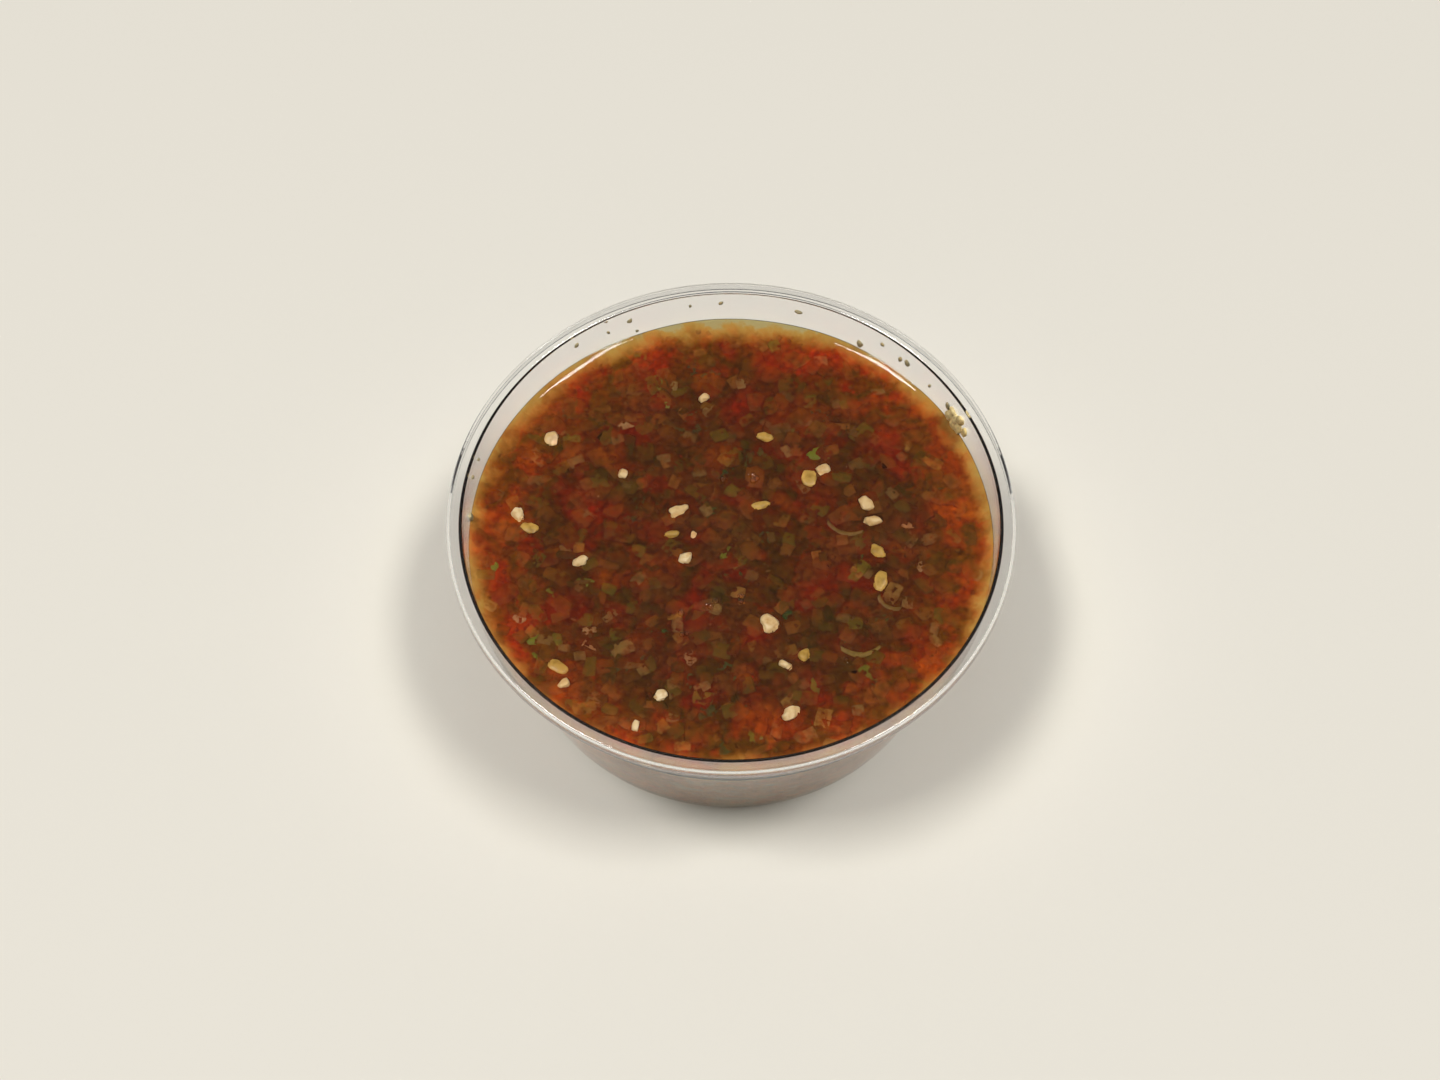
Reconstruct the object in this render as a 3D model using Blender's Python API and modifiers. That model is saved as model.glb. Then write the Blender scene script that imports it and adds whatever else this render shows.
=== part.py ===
# Finely chopped vegetable salad in its clear round portion cup, in metres, +Z up.
# The origin is the middle of the foot, on the surface that the cup stands on.

import math
import random

import bmesh
import bpy
from mathutils import Euler, Vector

MM = 0.001
OBJECT_NAME = "vegetable_salad"

# The cup is one formed sheet. Its sizes are those of the sheet's outer side.
SEGMENTS = 48
SHEET = 0.45 * MM
RIM_HEIGHT = 30.0 * MM
LIP_RADIUS = 37.0 * MM
LIP_TURN_DOWN = 1.5 * MM
MOUTH_RADIUS = 35.4 * MM
LEDGE_TOP_RADIUS = 34.75 * MM
LEDGE_TOP_HEIGHT = 23.1 * MM
LEDGE_FOOT_RADIUS = 34.0 * MM
LEDGE_FOOT_HEIGHT = 22.4 * MM
FOOT_RADIUS = 28.0 * MM
FOOT_FILLET = 3.0 * MM
LIP_FILLET = 0.35 * MM
RECESS_RADIUS = 24.0 * MM
RECESS_HEIGHT = 0.7 * MM
RECESS_SLOPE = 0.6 * MM

# The salad fills the cup to its level, with the juice drawn up a little at the wall.
GAP = 0.3 * MM
LEVEL = 23.7 * MM
MENISCUS_RISE = 0.55 * MM
MENISCUS_REACH = 3.0 * MM
MENISCUS_STEPS = 3
PIECE_MARGIN = 0.4 * MM
FLAT_ANGLE = math.radians(0.05)

# Chopped pieces that show, in mm: middle x, middle y, length, width, turn in degrees.
GARLIC = (
    (-24.1, 15.8, 2.4, 2.0, 100),
    (-14.4, 10.2, 1.5, 1.3, 60),
    (-6.9, 4.4, 2.9, 1.8, 25),
    (-28.2, 3.8, 2.3, 1.6, 110),
    (-19.8, -3.2, 2.3, 1.4, 15),
    (-6.0, -2.7, 2.0, 1.7, 70),
    (5.0, -12.4, 2.8, 2.3, 110),
    (7.6, -25.5, 2.7, 1.9, 40),
    (-9.0, -22.9, 2.0, 1.7, 20),
    (-12.2, -27.3, 1.8, 1.0, 80),
    (17.9, 5.5, 2.3, 2.0, 120),
    (18.8, 3.0, 2.6, 1.4, 10),
    (12.3, 10.8, 2.0, 1.6, 30),
    (-3.5, 22.2, 1.7, 1.1, 30),
    (-21.4, -21.3, 2.0, 1.2, 35),
    (7.0, -18.6, 2.0, 1.0, -25),
)
SEEDS = (
    (-26.5, 1.8, 2.7, 1.6, -20),
    (-22.3, -18.9, 2.9, 1.7, -40),
    (19.3, -1.7, 2.5, 1.7, -50),
    (19.5, -6.2, 3.2, 1.9, 80),
    (9.4, -17.1, 2.0, 1.6, 70),
    (10.4, 9.5, 2.6, 2.0, 95),
    (4.6, 16.0, 2.4, 1.6, -10),
    (-7.8, 0.9, 2.2, 1.0, 10),
    (4.0, 5.3, 2.6, 1.2, 15),
)
ONION = (
    (-14.1, 17.9, 2.6, 1.8, 0),
    (-18.4, -13.6, 2.3, 1.6, 10),
    (-18.1, -15.4, 2.4, 1.8, -20),
    (-5.4, -17.0, 2.9, 2.5, 60),
    (-27.6, -11.7, 2.2, 2.0, 30),
    (-17.9, 7.6, 2.4, 2.0, 75),
    (23.4, 2.2, 1.8, 1.2, -30),
    (24.9, -3.6, 2.4, 1.6, 60),
)
PEPPERS = (
    (-10.4, 24.8, 3.8, 2.6, -55),
    (11.5, 13.4, 3.2, 2.2, 15),
    (-0.5, -1.7, 3.0, 2.4, 40),
    (18.1, -19.6, 4.0, 3.4, 20),
    (2.9, -28.5, 3.2, 2.4, -60),
    (-19.3, -6.5, 3.6, 2.2, -10),
    (-23.5, -8.3, 2.6, 1.7, -60),
    (-25.7, -14.8, 2.4, 2.0, 15),
    (-25.4, -17.9, 2.8, 2.0, -70),
    (-31.0, -4.5, 2.6, 1.4, 85),
    (10.9, -21.5, 3.4, 1.9, 75),
    (-9.3, 21.5, 3.0, 2.2, -30),
)
TOMATOES = (
    (-30.6, 1.6, 5.2, 3.4, 85),
    (-18.7, 24.1, 6.4, 3.4, 30),
    (-5.6, 13.1, 6.8, 4.0, 5),
    (18.0, 14.9, 7.6, 4.8, -20),
    (1.4, -14.8, 5.6, 4.2, 80),
    (14.1, -25.8, 6.2, 3.6, 20),
    (5.8, -30.2, 5.4, 2.2, 12),
    (-16.0, -23.5, 6.4, 4.4, -35),
    (-24.0, 8.6, 6.0, 4.4, 70),
    (25.6, -8.4, 6.2, 3.8, 75),
    (6.6, 27.4, 6.8, 3.6, -8),
    (8.2, 11.6, 4.8, 3.6, 35),
)
LEAVES = (
    (-8.8, 31.4, 3.0, 1.2, 15),
    (-3.1, 25.3, 3.6, 2.6, 20),
    (-7.2, 17.1, 3.8, 1.4, -15),
    (-4.0, 17.4, 2.6, 1.5, 20),
    (3.1, 12.5, 3.6, 3.2, 35),
    (0.6, 14.6, 3.4, 1.8, -40),
    (23.8, 12.2, 4.6, 3.2, 10),
    (-12.7, 4.7, 3.8, 2.8, 50),
    (-10.5, 6.8, 3.0, 2.0, -25),
    (1.7, -7.8, 3.0, 2.6, -45),
    (8.4, -11.4, 3.4, 2.0, -10),
    (-9.4, -17.3, 4.6, 2.0, 10),
    (-15.3, -19.7, 4.2, 1.8, 15),
    (-1.3, -20.3, 4.2, 3.2, 30),
    (-4.4, -21.0, 3.0, 2.2, -60),
    (19.8, -21.9, 3.8, 1.8, -15),
    (-3.5, -25.8, 3.6, 2.4, 40),
    (13.8, -14.6, 2.6, 1.8, 70),
)
STEMS = (
    (16.9, -16.4, 5.4, 0.8, 6),
    (14.9, 1.6, 4.8, 0.6, -18),
    (20.4, -9.6, 3.4, 0.7, -35),
)

# Height of each kind of piece, how far its top stands proud, and its roundness (1 is a ball).
GARLIC_FORM = (1.4 * MM, 0.65 * MM, 0.35)
SEED_FORM = (1.1 * MM, 0.52 * MM, 0.75)
ONION_FORM = (1.0 * MM, 0.42 * MM, 0.25)
PEPPER_FORM = (1.1 * MM, 0.45 * MM, 0.30)
TOMATO_FORM = (1.5 * MM, 0.45 * MM, 0.55)
STEM_FORM = (0.8 * MM, 0.40 * MM, 0.80)
STEM_BEND = 0.22
LEAF_THICKNESS = 0.5 * MM
LEAF_WAVE = 0.18 * MM

# Smaller bits fill what lies between, spread evenly by a seeded rule.
SHAPE_SEED = 17
BIT_SEED = 29
BIT_COUNT = 130
BIT_TRIES = 14
BIT_LENGTH = (1.8 * MM, 3.4 * MM)
BIT_SLIMNESS = (0.55, 0.9)
BIT_HEIGHT = 0.9 * MM
BIT_PROUD = (0.30 * MM, 0.45 * MM)
BIT_ROUNDNESS = (0.2, 0.6)
LEAF_SHARE = 0.2

CUP_COLOUR = (0.87, 0.86, 0.83, 1.0)
SALAD_COLOUR = (0.112, 0.026, 0.007, 1.0)


def rounded(corners):
    """An outline through (radius, height, fillet, steps) corners, each with a fillet an arc."""
    points = [Vector(corners[0][:2])]
    for before, corner, after in zip(corners, corners[1:], corners[2:]):
        here = Vector(corner[:2])
        if not corner[2]:
            points.append(here)
            continue
        back = (Vector(before[:2]) - here).normalized()
        ahead = (Vector(after[:2]) - here).normalized()
        half_angle = back.angle(ahead) / 2
        fillet, steps = corner[2:]
        centre = here + (back + ahead).normalized() * (fillet / math.sin(half_angle))
        start = here + back * (fillet / math.tan(half_angle)) - centre
        end = here + ahead * (fillet / math.tan(half_angle)) - centre
        sweep = math.atan2(start.cross(end), start.dot(end))
        for step in range(steps + 1):
            turn = sweep * step / steps
            points.append(
                centre
                + Vector(
                    (
                        start.x * math.cos(turn) - start.y * math.sin(turn),
                        start.x * math.sin(turn) + start.y * math.cos(turn),
                    )
                )
            )
    points.append(Vector(corners[-1][:2]))
    return points


def moved_inward(points, distance):
    """The outline moved towards the inside of the cup, each stretch parallel to its old one."""
    normals = []
    for start, end in zip(points, points[1:]):
        along = (end - start).normalized()
        normals.append(Vector((along.y, -along.x)))
    moved = [points[0] + normals[0] * distance]
    for point, first, second in zip(points[1:], normals, normals[1:]):
        moved.append(point + (first + second) * (distance / (1 + first.dot(second))))
    moved.append(Vector((0.0, points[-1].y + distance)))
    return moved


def radius_at(points, height):
    """The outline's radius where its wall passes this height."""
    for upper, lower in zip(points, points[1:]):
        if upper.y >= height > lower.y:
            share = (upper.y - height) / (upper.y - lower.y)
            return upper.x + (lower.x - upper.x) * share
    raise ValueError("the outline doesn't reach this height")


def plain_material(name, colour, roughness, transmission=0.0):
    material = bpy.data.materials.new(name)
    material.use_nodes = True
    shader = material.node_tree.nodes["Principled BSDF"]
    shader.inputs["Base Color"].default_value = colour
    shader.inputs["Roughness"].default_value = roughness
    shader.inputs["Metallic"].default_value = 0.0
    shader.inputs["Transmission Weight"].default_value = transmission
    material.diffuse_color = colour
    return material


def turned(name, outline, collection):
    """An object whose outline, at +X, is turned round Z."""
    mesh = bpy.data.meshes.new(name)
    vertices = [(point.x, 0.0, point.y) for point in outline]
    mesh.from_pydata(vertices, [(i, i + 1) for i in range(len(outline) - 1)], [])
    turned_object = bpy.data.objects.new(name, mesh)
    collection.objects.link(turned_object)
    screw = turned_object.modifiers.new("Turn", "SCREW")
    screw.axis = "Z"
    screw.angle = 2 * math.pi
    screw.steps = SEGMENTS
    screw.render_steps = SEGMENTS
    screw.use_merge_vertices = True
    screw.merge_threshold = 0.01 * MM
    return turned_object


def made_mesh(source, name):
    """The object's modifiers applied, as a mesh of its own."""
    graph = bpy.context.evaluated_depsgraph_get()
    mesh = bpy.data.meshes.new_from_object(source.evaluated_get(graph))
    mesh.name = name
    source.modifiers.clear()
    source.data = mesh


def smooth_with_edges(mesh, angle):
    mesh.shade_smooth()
    mesh.set_sharp_from_angle(angle=angle)


def cup_outline():
    """The outer side of the cup's sheet, from the lip's lower edge to the middle of the foot."""
    lip_under = RIM_HEIGHT - SHEET
    edge_radius = LIP_RADIUS - SHEET
    corners = (
        (edge_radius, RIM_HEIGHT - LIP_TURN_DOWN, 0.0, 0),
        (edge_radius, lip_under, LIP_FILLET, 2),
        (MOUTH_RADIUS, lip_under, LIP_FILLET, 2),
        (LEDGE_TOP_RADIUS, LEDGE_TOP_HEIGHT, 0.0, 0),
        (LEDGE_FOOT_RADIUS, LEDGE_FOOT_HEIGHT, 0.0, 0),
        (FOOT_RADIUS, 0.0, FOOT_FILLET, 4),
        (RECESS_RADIUS, 0.0, 0.0, 0),
        (RECESS_RADIUS - RECESS_SLOPE, RECESS_HEIGHT, 0.0, 0),
        (0.0, RECESS_HEIGHT, 0.0, 0),
    )
    return rounded(corners)


def add_cup(outline, collection):
    cup = turned("cup", outline, collection)
    sheet = cup.modifiers.new("Sheet", "SOLIDIFY")
    sheet.thickness = SHEET
    sheet.offset = -1.0
    sheet.use_even_offset = True
    made_mesh(cup, "cup")
    smooth_with_edges(cup.data, math.radians(40))
    cup.data.materials.append(plain_material("clear formed sheet", CUP_COLOUR, 0.08, 0.9))


def salad_outline(outline):
    """The juice's surface, then its side and underside along the cup's inner wall."""
    wall = moved_inward(outline, SHEET + GAP)
    edge_height = LEVEL + MENISCUS_RISE
    edge_radius = radius_at(wall, edge_height)
    surface = [Vector((0.0, LEVEL))]
    for step in range(MENISCUS_STEPS + 1):
        share = step / MENISCUS_STEPS
        radius = edge_radius - MENISCUS_REACH * (1 - share)
        surface.append(Vector((radius, LEVEL + MENISCUS_RISE * share**3)))
    return surface + [point for point in wall if point.y < LEVEL]


def kept_inside(x, y, reach, limit):
    """The place drawn in towards the middle where its piece would reach the wall."""
    distance = math.hypot(x, y)
    most = limit - reach
    if distance <= most:
        return x, y
    return x * most / distance, y * most / distance


def link_piece(bm, name, collection):
    bmesh.ops.recalc_face_normals(bm, faces=bm.faces)
    mesh = bpy.data.meshes.new(name)
    bm.to_mesh(mesh)
    bm.free()
    piece = bpy.data.objects.new(name, mesh)
    collection.objects.link(piece)
    return piece


def add_chunk(name, place, size, form, rng, collection, sides=6, bend=0.0):
    """A chopped piece: a ball pushed out towards a block, uneven, and sunk into the juice."""
    x, y, turn = place
    length, width = size
    height, proud, roundness = form
    bm = bmesh.new()
    bmesh.ops.create_uvsphere(bm, u_segments=sides, v_segments=4, radius=0.5)
    for vert in bm.verts:
        blocky = vert.co * (0.5 / max(abs(part) for part in vert.co))
        shaped = blocky.lerp(vert.co, roundness)
        shaped *= rng.uniform(0.9, 1.08)
        shaped.x *= length
        shaped.y = shaped.y * width + bend * length * (4 * (shaped.x / length) ** 2 - 0.5)
        shaped.z *= height
        vert.co = shaped
    tilt = Euler((rng.uniform(-0.16, 0.16), rng.uniform(-0.16, 0.16), math.radians(turn)))
    for vert in bm.verts:
        vert.co.rotate(tilt)
    top = max(vert.co.z for vert in bm.verts)
    bmesh.ops.translate(bm, verts=bm.verts, vec=(x, y, LEVEL + proud - top))
    return link_piece(bm, name, collection)


def add_leaf(name, place, size, rng, collection):
    """A scrap of leaf: a thin wavy sheet, both faces split alike, lying in the surface."""
    x, y, turn = place
    length, width = size
    phase = rng.uniform(0, math.tau)
    bm = bmesh.new()
    bmesh.ops.create_grid(bm, x_segments=4, y_segments=2, size=0.5)
    for vert in bm.verts:
        along = vert.co.x
        narrowing = 0.45 + 0.55 * math.cos(math.pi * along) + rng.uniform(-0.08, 0.08)
        vert.co.y *= width * narrowing
        vert.co.x = along * length
        vert.co.z = LEAF_WAVE * math.sin(phase + math.tau * along)
    bmesh.ops.triangulate(bm, faces=bm.faces)
    bmesh.ops.rotate(bm, verts=bm.verts, matrix=Euler((0, 0, math.radians(turn))).to_matrix())
    bmesh.ops.translate(bm, verts=bm.verts, vec=(x, y, LEVEL))
    leaf = link_piece(bm, name, collection)
    sheet = leaf.modifiers.new("Thickness", "SOLIDIFY")
    sheet.thickness = LEAF_THICKNESS
    sheet.offset = 0.0
    return leaf


def spread_spots(taken, limit, rng):
    """Further places, each the loneliest of a few random ones."""
    spots = []
    for _ in range(BIT_COUNT):
        best, best_room = None, -1.0
        for _ in range(BIT_TRIES):
            radius = limit * math.sqrt(rng.random())
            angle = rng.uniform(0, math.tau)
            x, y = radius * math.cos(angle), radius * math.sin(angle)
            room = min(math.hypot(x - other[0], y - other[1]) - other[2] for other in taken)
            if room > best_room:
                best, best_room = (x, y), room
        spots.append(best)
        taken.append((best[0], best[1], 1.0 * MM))
    return spots


def bits(taken, limit):
    """The place, size and form of each smaller bit; a form of None is a leaf."""
    rng = random.Random(BIT_SEED)
    for x, y in spread_spots(taken, limit - 1.5 * MM, rng):
        length = rng.uniform(*BIT_LENGTH)
        width = length * rng.uniform(*BIT_SLIMNESS)
        turn = rng.uniform(0, 180)
        form = (BIT_HEIGHT, rng.uniform(*BIT_PROUD), rng.uniform(*BIT_ROUNDNESS))
        if rng.random() < LEAF_SHARE:
            form = None
        yield kept_inside(x, y, 0.55 * length, limit) + (turn,), (length, width), form


def add_pieces(limit, collection):
    """Every chopped piece that shows in the surface."""
    rng = random.Random(SHAPE_SEED)
    taken = []
    kinds = (
        ("tomato", TOMATOES, TOMATO_FORM, 8, 0.0),
        ("garlic", GARLIC, GARLIC_FORM, 6, 0.0),
        ("seed", SEEDS, SEED_FORM, 6, 0.0),
        ("onion", ONION, ONION_FORM, 6, 0.0),
        ("pepper", PEPPERS, PEPPER_FORM, 6, 0.0),
        ("stem", STEMS, STEM_FORM, 6, STEM_BEND),
    )
    for kind, places, form, sides, bend in kinds:
        for number, (x, y, length, width, turn) in enumerate(places):
            x, y = kept_inside(x * MM, y * MM, 0.55 * length * MM, limit)
            taken.append((x, y, 0.5 * width * MM))
            size = (length * MM, width * MM)
            add_chunk(f"{kind}_{number}", (x, y, turn), size, form, rng, collection, sides, bend)
    for number, (x, y, length, width, turn) in enumerate(LEAVES):
        x, y = kept_inside(x * MM, y * MM, 0.55 * length * MM, limit)
        taken.append((x, y, 0.5 * width * MM))
        add_leaf(f"leaf_{number}", (x, y, turn), (length * MM, width * MM), rng, collection)
    for number, (place, size, form) in enumerate(bits(taken, limit)):
        if form:
            add_chunk(f"bit_{number}", place, size, form, rng, collection, sides=5)
        else:
            add_leaf(f"bit_{number}", place, size, rng, collection)


def without_flat_edges(mesh):
    """Joins faces that lie in one plane, so that the juice's surface is one face."""
    bm = bmesh.new()
    bm.from_mesh(mesh)
    flat = [edge for edge in bm.edges if edge.calc_face_angle() < FLAT_ANGLE]
    bmesh.ops.dissolve_edges(bm, edges=flat, use_verts=True)
    bm.to_mesh(mesh)
    bm.free()


def add_salad(outline, collection):
    """The juice up to its level, with the pieces that show joined on."""
    surface_outline = salad_outline(outline)
    salad = turned("salad", surface_outline, collection)
    made_mesh(salad, "salad")
    without_flat_edges(salad.data)

    pieces = bpy.data.collections.new("salad_pieces")
    bpy.context.scene.collection.children.link(pieces)
    pieces.hide_render = True
    add_pieces(max(point.x for point in surface_outline) - PIECE_MARGIN, pieces)
    join = salad.modifiers.new("Join the pieces", "BOOLEAN")
    join.operation = "UNION"
    join.operand_type = "COLLECTION"
    join.collection = pieces
    join.solver = "MANIFOLD"
    made_mesh(salad, "salad")
    for piece in list(pieces.objects):
        bpy.data.objects.remove(piece, do_unlink=True)
    bpy.data.collections.remove(pieces)

    salad.data.materials.clear()
    salad.data.materials.append(plain_material("chopped salad in juice", SALAD_COLOUR, 0.18))
    smooth_with_edges(salad.data, math.radians(35))


for old in list(bpy.data.objects):
    bpy.data.objects.remove(old, do_unlink=True)
parts = bpy.data.collections.new(OBJECT_NAME)
bpy.context.scene.collection.children.link(parts)
sheet_outline = cup_outline()
add_cup(sheet_outline, parts)
add_salad(sheet_outline, parts)
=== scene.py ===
# Finely chopped vegetable salad in its own juice, in its clear round portion cup.
# Metres, +Z up. The origin is the middle of the foot, on the surface that the cup stands on.

import math
import random

import bmesh
import bpy
import numpy as np
from mathutils import Euler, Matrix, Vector, noise


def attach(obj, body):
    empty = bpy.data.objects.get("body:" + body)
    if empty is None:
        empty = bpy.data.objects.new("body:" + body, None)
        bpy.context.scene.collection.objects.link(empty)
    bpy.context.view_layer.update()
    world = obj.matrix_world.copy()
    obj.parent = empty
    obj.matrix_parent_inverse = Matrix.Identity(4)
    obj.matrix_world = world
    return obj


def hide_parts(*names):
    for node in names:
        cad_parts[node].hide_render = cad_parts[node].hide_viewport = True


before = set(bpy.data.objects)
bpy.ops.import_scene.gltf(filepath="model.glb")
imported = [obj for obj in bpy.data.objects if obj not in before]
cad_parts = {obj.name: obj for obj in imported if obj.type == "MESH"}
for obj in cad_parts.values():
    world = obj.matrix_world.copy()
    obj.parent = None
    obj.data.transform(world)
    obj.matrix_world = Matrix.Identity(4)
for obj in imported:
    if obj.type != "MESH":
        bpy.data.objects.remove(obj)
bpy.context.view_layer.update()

# THE CUP
# A clear portion cup: one thin PET sheet, drawn hot into a mould and cut off at its lip.
# It has a flat lip turned down at its edge, a tapered mouth over a small stacking ledge,
# a tapered side, a rounded foot corner and a base that is recessed so it stands on a ring.
MM = 0.001
CUP_TURNS = 192
SHEET = 0.45 * MM
RIM_HEIGHT = 30.0 * MM
LIP_RADIUS = 37.0 * MM
LIP_TURN_DOWN = 1.5 * MM
MOUTH_RADIUS = 35.4 * MM
LEDGE_TOP = (34.75 * MM, 23.1 * MM)
LEDGE_FOOT = (34.0 * MM, 22.4 * MM)
FOOT_RADIUS = 28.0 * MM
RECESS_RADIUS = 24.0 * MM
RECESS_HEIGHT = 0.7 * MM
RECESS_SLOPE = 0.6 * MM
LONGEST_STEP = 1.5 * MM
TURNING_AXIS = 10.0 * MM


def rounded(corners):
    """An outline through (radius, height, fillet, steps) corners, each with a fillet an arc."""
    points = [Vector(corners[0][:2])]
    for before, corner, after in zip(corners, corners[1:], corners[2:]):
        here = Vector(corner[:2])
        back = (Vector(before[:2]) - here).normalized()
        ahead = (Vector(after[:2]) - here).normalized()
        half_angle = back.angle(ahead) / 2
        fillet, steps = corner[2:]
        centre = here + (back + ahead).normalized() * (fillet / math.sin(half_angle))
        start = here + back * (fillet / math.tan(half_angle)) - centre
        end = here + ahead * (fillet / math.tan(half_angle)) - centre
        sweep = math.atan2(start.cross(end), start.dot(end))
        for step in range(steps + 1):
            turn = sweep * step / steps
            across = start.x * math.cos(turn) - start.y * math.sin(turn)
            up = start.x * math.sin(turn) + start.y * math.cos(turn)
            points.append(centre + Vector((across, up)))
    points.append(Vector(corners[-1][:2]))
    return points


def spaced(points, longest):
    """The outline with further points along its straight runs."""
    result = [points[0]]
    for start, end in zip(points, points[1:]):
        steps = max(1, math.ceil((end - start).length / longest))
        result += [start.lerp(end, (step + 1) / steps) for step in range(steps)]
    return result


def moved_inward(points, distance):
    """The outline moved towards the inside of the cup, each stretch parallel to its old one."""
    normals = []
    for start, end in zip(points, points[1:]):
        along = (end - start).normalized()
        normals.append(Vector((along.y, -along.x)))
    moved = [points[0] + normals[0] * distance]
    for point, first, second in zip(points[1:], normals, normals[1:]):
        moved.append(point + (first + second) * (distance / (1 + first.dot(second))))
    moved.append(Vector((0.0, points[-1].y + distance)))
    return moved


def linear(colour):
    """An sRGB hex colour as the linear values that a shader takes."""
    parts = [int(colour[i : i + 2], 16) / 255 for i in (0, 2, 4)]
    bent = [p / 12.92 if p <= 0.04045 else ((p + 0.055) / 1.055) ** 2.4 for p in parts]
    return (*bent, 1.0)


def add_node(tree, kind, sockets=None, **settings):
    """A node with its settings. Each of its sockets takes a value, a link from another socket,
    or a link from the first socket of another node."""
    node = tree.nodes.new(kind)
    for name, value in settings.items():
        setattr(node, name, value)
    for socket, value in (sockets or {}).items():
        if isinstance(value, bpy.types.Node):
            value = value.outputs[0]
        if isinstance(value, bpy.types.NodeSocket):
            tree.links.new(value, node.inputs[socket])
        else:
            node.inputs[socket].default_value = value
    return node


def shown(name, data):
    """An object of this data, in the scene."""
    thing = bpy.data.objects.new(name, data)
    bpy.context.scene.collection.objects.link(thing)
    return thing


def node_tree(name, inputs):
    """An empty modifier tree with these named inputs, and its two end nodes."""
    tree = bpy.data.node_groups.new(name, "GeometryNodeTree")
    for socket, kind in inputs.items():
        tree.interface.new_socket(socket, in_out="INPUT", socket_type="NodeSocket" + kind)
    tree.interface.new_socket("Result", in_out="OUTPUT", socket_type="NodeSocketGeometry")
    return tree, add_node(tree, "NodeGroupInput"), add_node(tree, "NodeGroupOutput")


def made_by(tree, name, mesh, values):
    """What the tree makes of this mesh, as an object with a plain mesh of its own."""
    made = shown(name, mesh)
    modifier = made.modifiers.new(tree.name, "NODES")
    modifier.node_group = tree
    sockets = {item.name: item.identifier for item in tree.interface.items_tree}
    for socket, value in values.items():
        modifier[sockets[socket]] = value
    graph = bpy.context.evaluated_depsgraph_get()
    plain = bpy.data.meshes.new_from_object(made.evaluated_get(graph))
    made.modifiers.clear()
    made.data = plain
    plain.name = name
    return made


def closed_outwards(mesh):
    """Points the faces of closed shells outwards."""
    bm = bmesh.new()
    bm.from_mesh(mesh)
    bmesh.ops.recalc_face_normals(bm, faces=bm.faces)
    bm.to_mesh(mesh)
    bm.free()


def stands_for(piece, node):
    """The piece moves with the part and is shown in place of the node."""
    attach(piece, "root")
    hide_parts(node)


def clear_material(name, colour, ior, roughness, let_through):
    """A clear body; light from the lamps also reaches straight through it."""
    material = bpy.data.materials.new(name)
    material.use_nodes = True
    tree = material.node_tree
    tree.nodes.clear()
    shader = add_node(
        tree,
        "ShaderNodeBsdfPrincipled",
        {"Base Color": linear(colour), "IOR": ior, "Roughness": roughness, "Transmission Weight": 1.0},
    )
    passing = add_node(tree, "ShaderNodeBsdfTransparent", {"Color": linear(let_through)})
    path = add_node(tree, "ShaderNodeLightPath")
    either = add_node(
        tree, "ShaderNodeMixShader", {0: path.outputs["Is Shadow Ray"], 1: shader, 2: passing}
    )
    add_node(tree, "ShaderNodeOutputMaterial", {"Surface": either})
    return material, tree, shader


def uneven_surface(tree, shader, size, detail, strength, depth, **normal):
    """Gives a shader's surface waves of this size and depth."""
    place = add_node(tree, "ShaderNodeTexCoord").outputs["Object"]
    waves = add_node(tree, "ShaderNodeTexNoise", {"Scale": 1 / size, "Detail": detail, "Vector": place})
    raised = add_node(
        tree,
        "ShaderNodeBump",
        {"Strength": strength, "Distance": depth, "Height": waves.outputs["Fac"], **normal},
    )
    tree.links.new(raised.outputs[0], shader.inputs["Normal"])


# Amorphous PET, thermoformed: glass clear and smooth, with the mould's faint long waves.
PET_IOR = 1.575
pet, pet_tree, pet_shader = clear_material("thermoformed clear PET", "ffffff", PET_IOR, 0.05, "fefefc")
uneven_surface(pet_tree, pet_shader, 9.0 * MM, 1.0, 0.04, 0.08 * MM)

lip_under = RIM_HEIGHT - SHEET
lip_edge = LIP_RADIUS - SHEET
# Each corner: radius, height, the radius of its fillet and the steps round it.
sheet_outline = rounded(
    (
        (lip_edge, RIM_HEIGHT - LIP_TURN_DOWN, 0.0, 0),
        (lip_edge, lip_under, 0.12 * MM, 6),
        (MOUTH_RADIUS, lip_under, 0.08 * MM, 6),
        (*LEDGE_TOP, 0.3 * MM, 4),
        (*LEDGE_FOOT, 0.5 * MM, 4),
        (FOOT_RADIUS, 0.0, 3.0 * MM, 14),
        (RECESS_RADIUS, 0.0, 0.25 * MM, 4),
        (RECESS_RADIUS - RECESS_SLOPE, RECESS_HEIGHT, 0.3 * MM, 4),
        (0.0, RECESS_HEIGHT, 0.0, 0),
    )
)
sheet_outline = spaced(sheet_outline, LONGEST_STEP)
inner_outline = moved_inward(sheet_outline, SHEET)

turned, turned_in, turned_out = node_tree(
    "turned round the axis",
    {"Section": "Geometry", "Turns": "Int", "Axis": "Float", "Finish": "Material"},
)
section = add_node(turned, "GeometryNodeMeshToCurve", {0: turned_in.outputs["Section"]})
circle = add_node(
    turned,
    "GeometryNodeCurvePrimitiveCircle",
    {"Resolution": turned_in.outputs["Turns"], "Radius": turned_in.outputs["Axis"]},
)
swept = add_node(turned, "GeometryNodeCurveToMesh", {"Curve": circle, "Profile Curve": section})
whole = add_node(turned, "GeometryNodeMergeByDistance", {0: swept, "Distance": 0.005 * MM})
smooth = add_node(turned, "GeometryNodeSetShadeSmooth", {0: whole})
finished = add_node(
    turned, "GeometryNodeSetMaterial", {"Geometry": smooth, "Material": turned_in.outputs["Finish"]}
)
turned.links.new(finished.outputs[0], turned_out.inputs[0])

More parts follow.
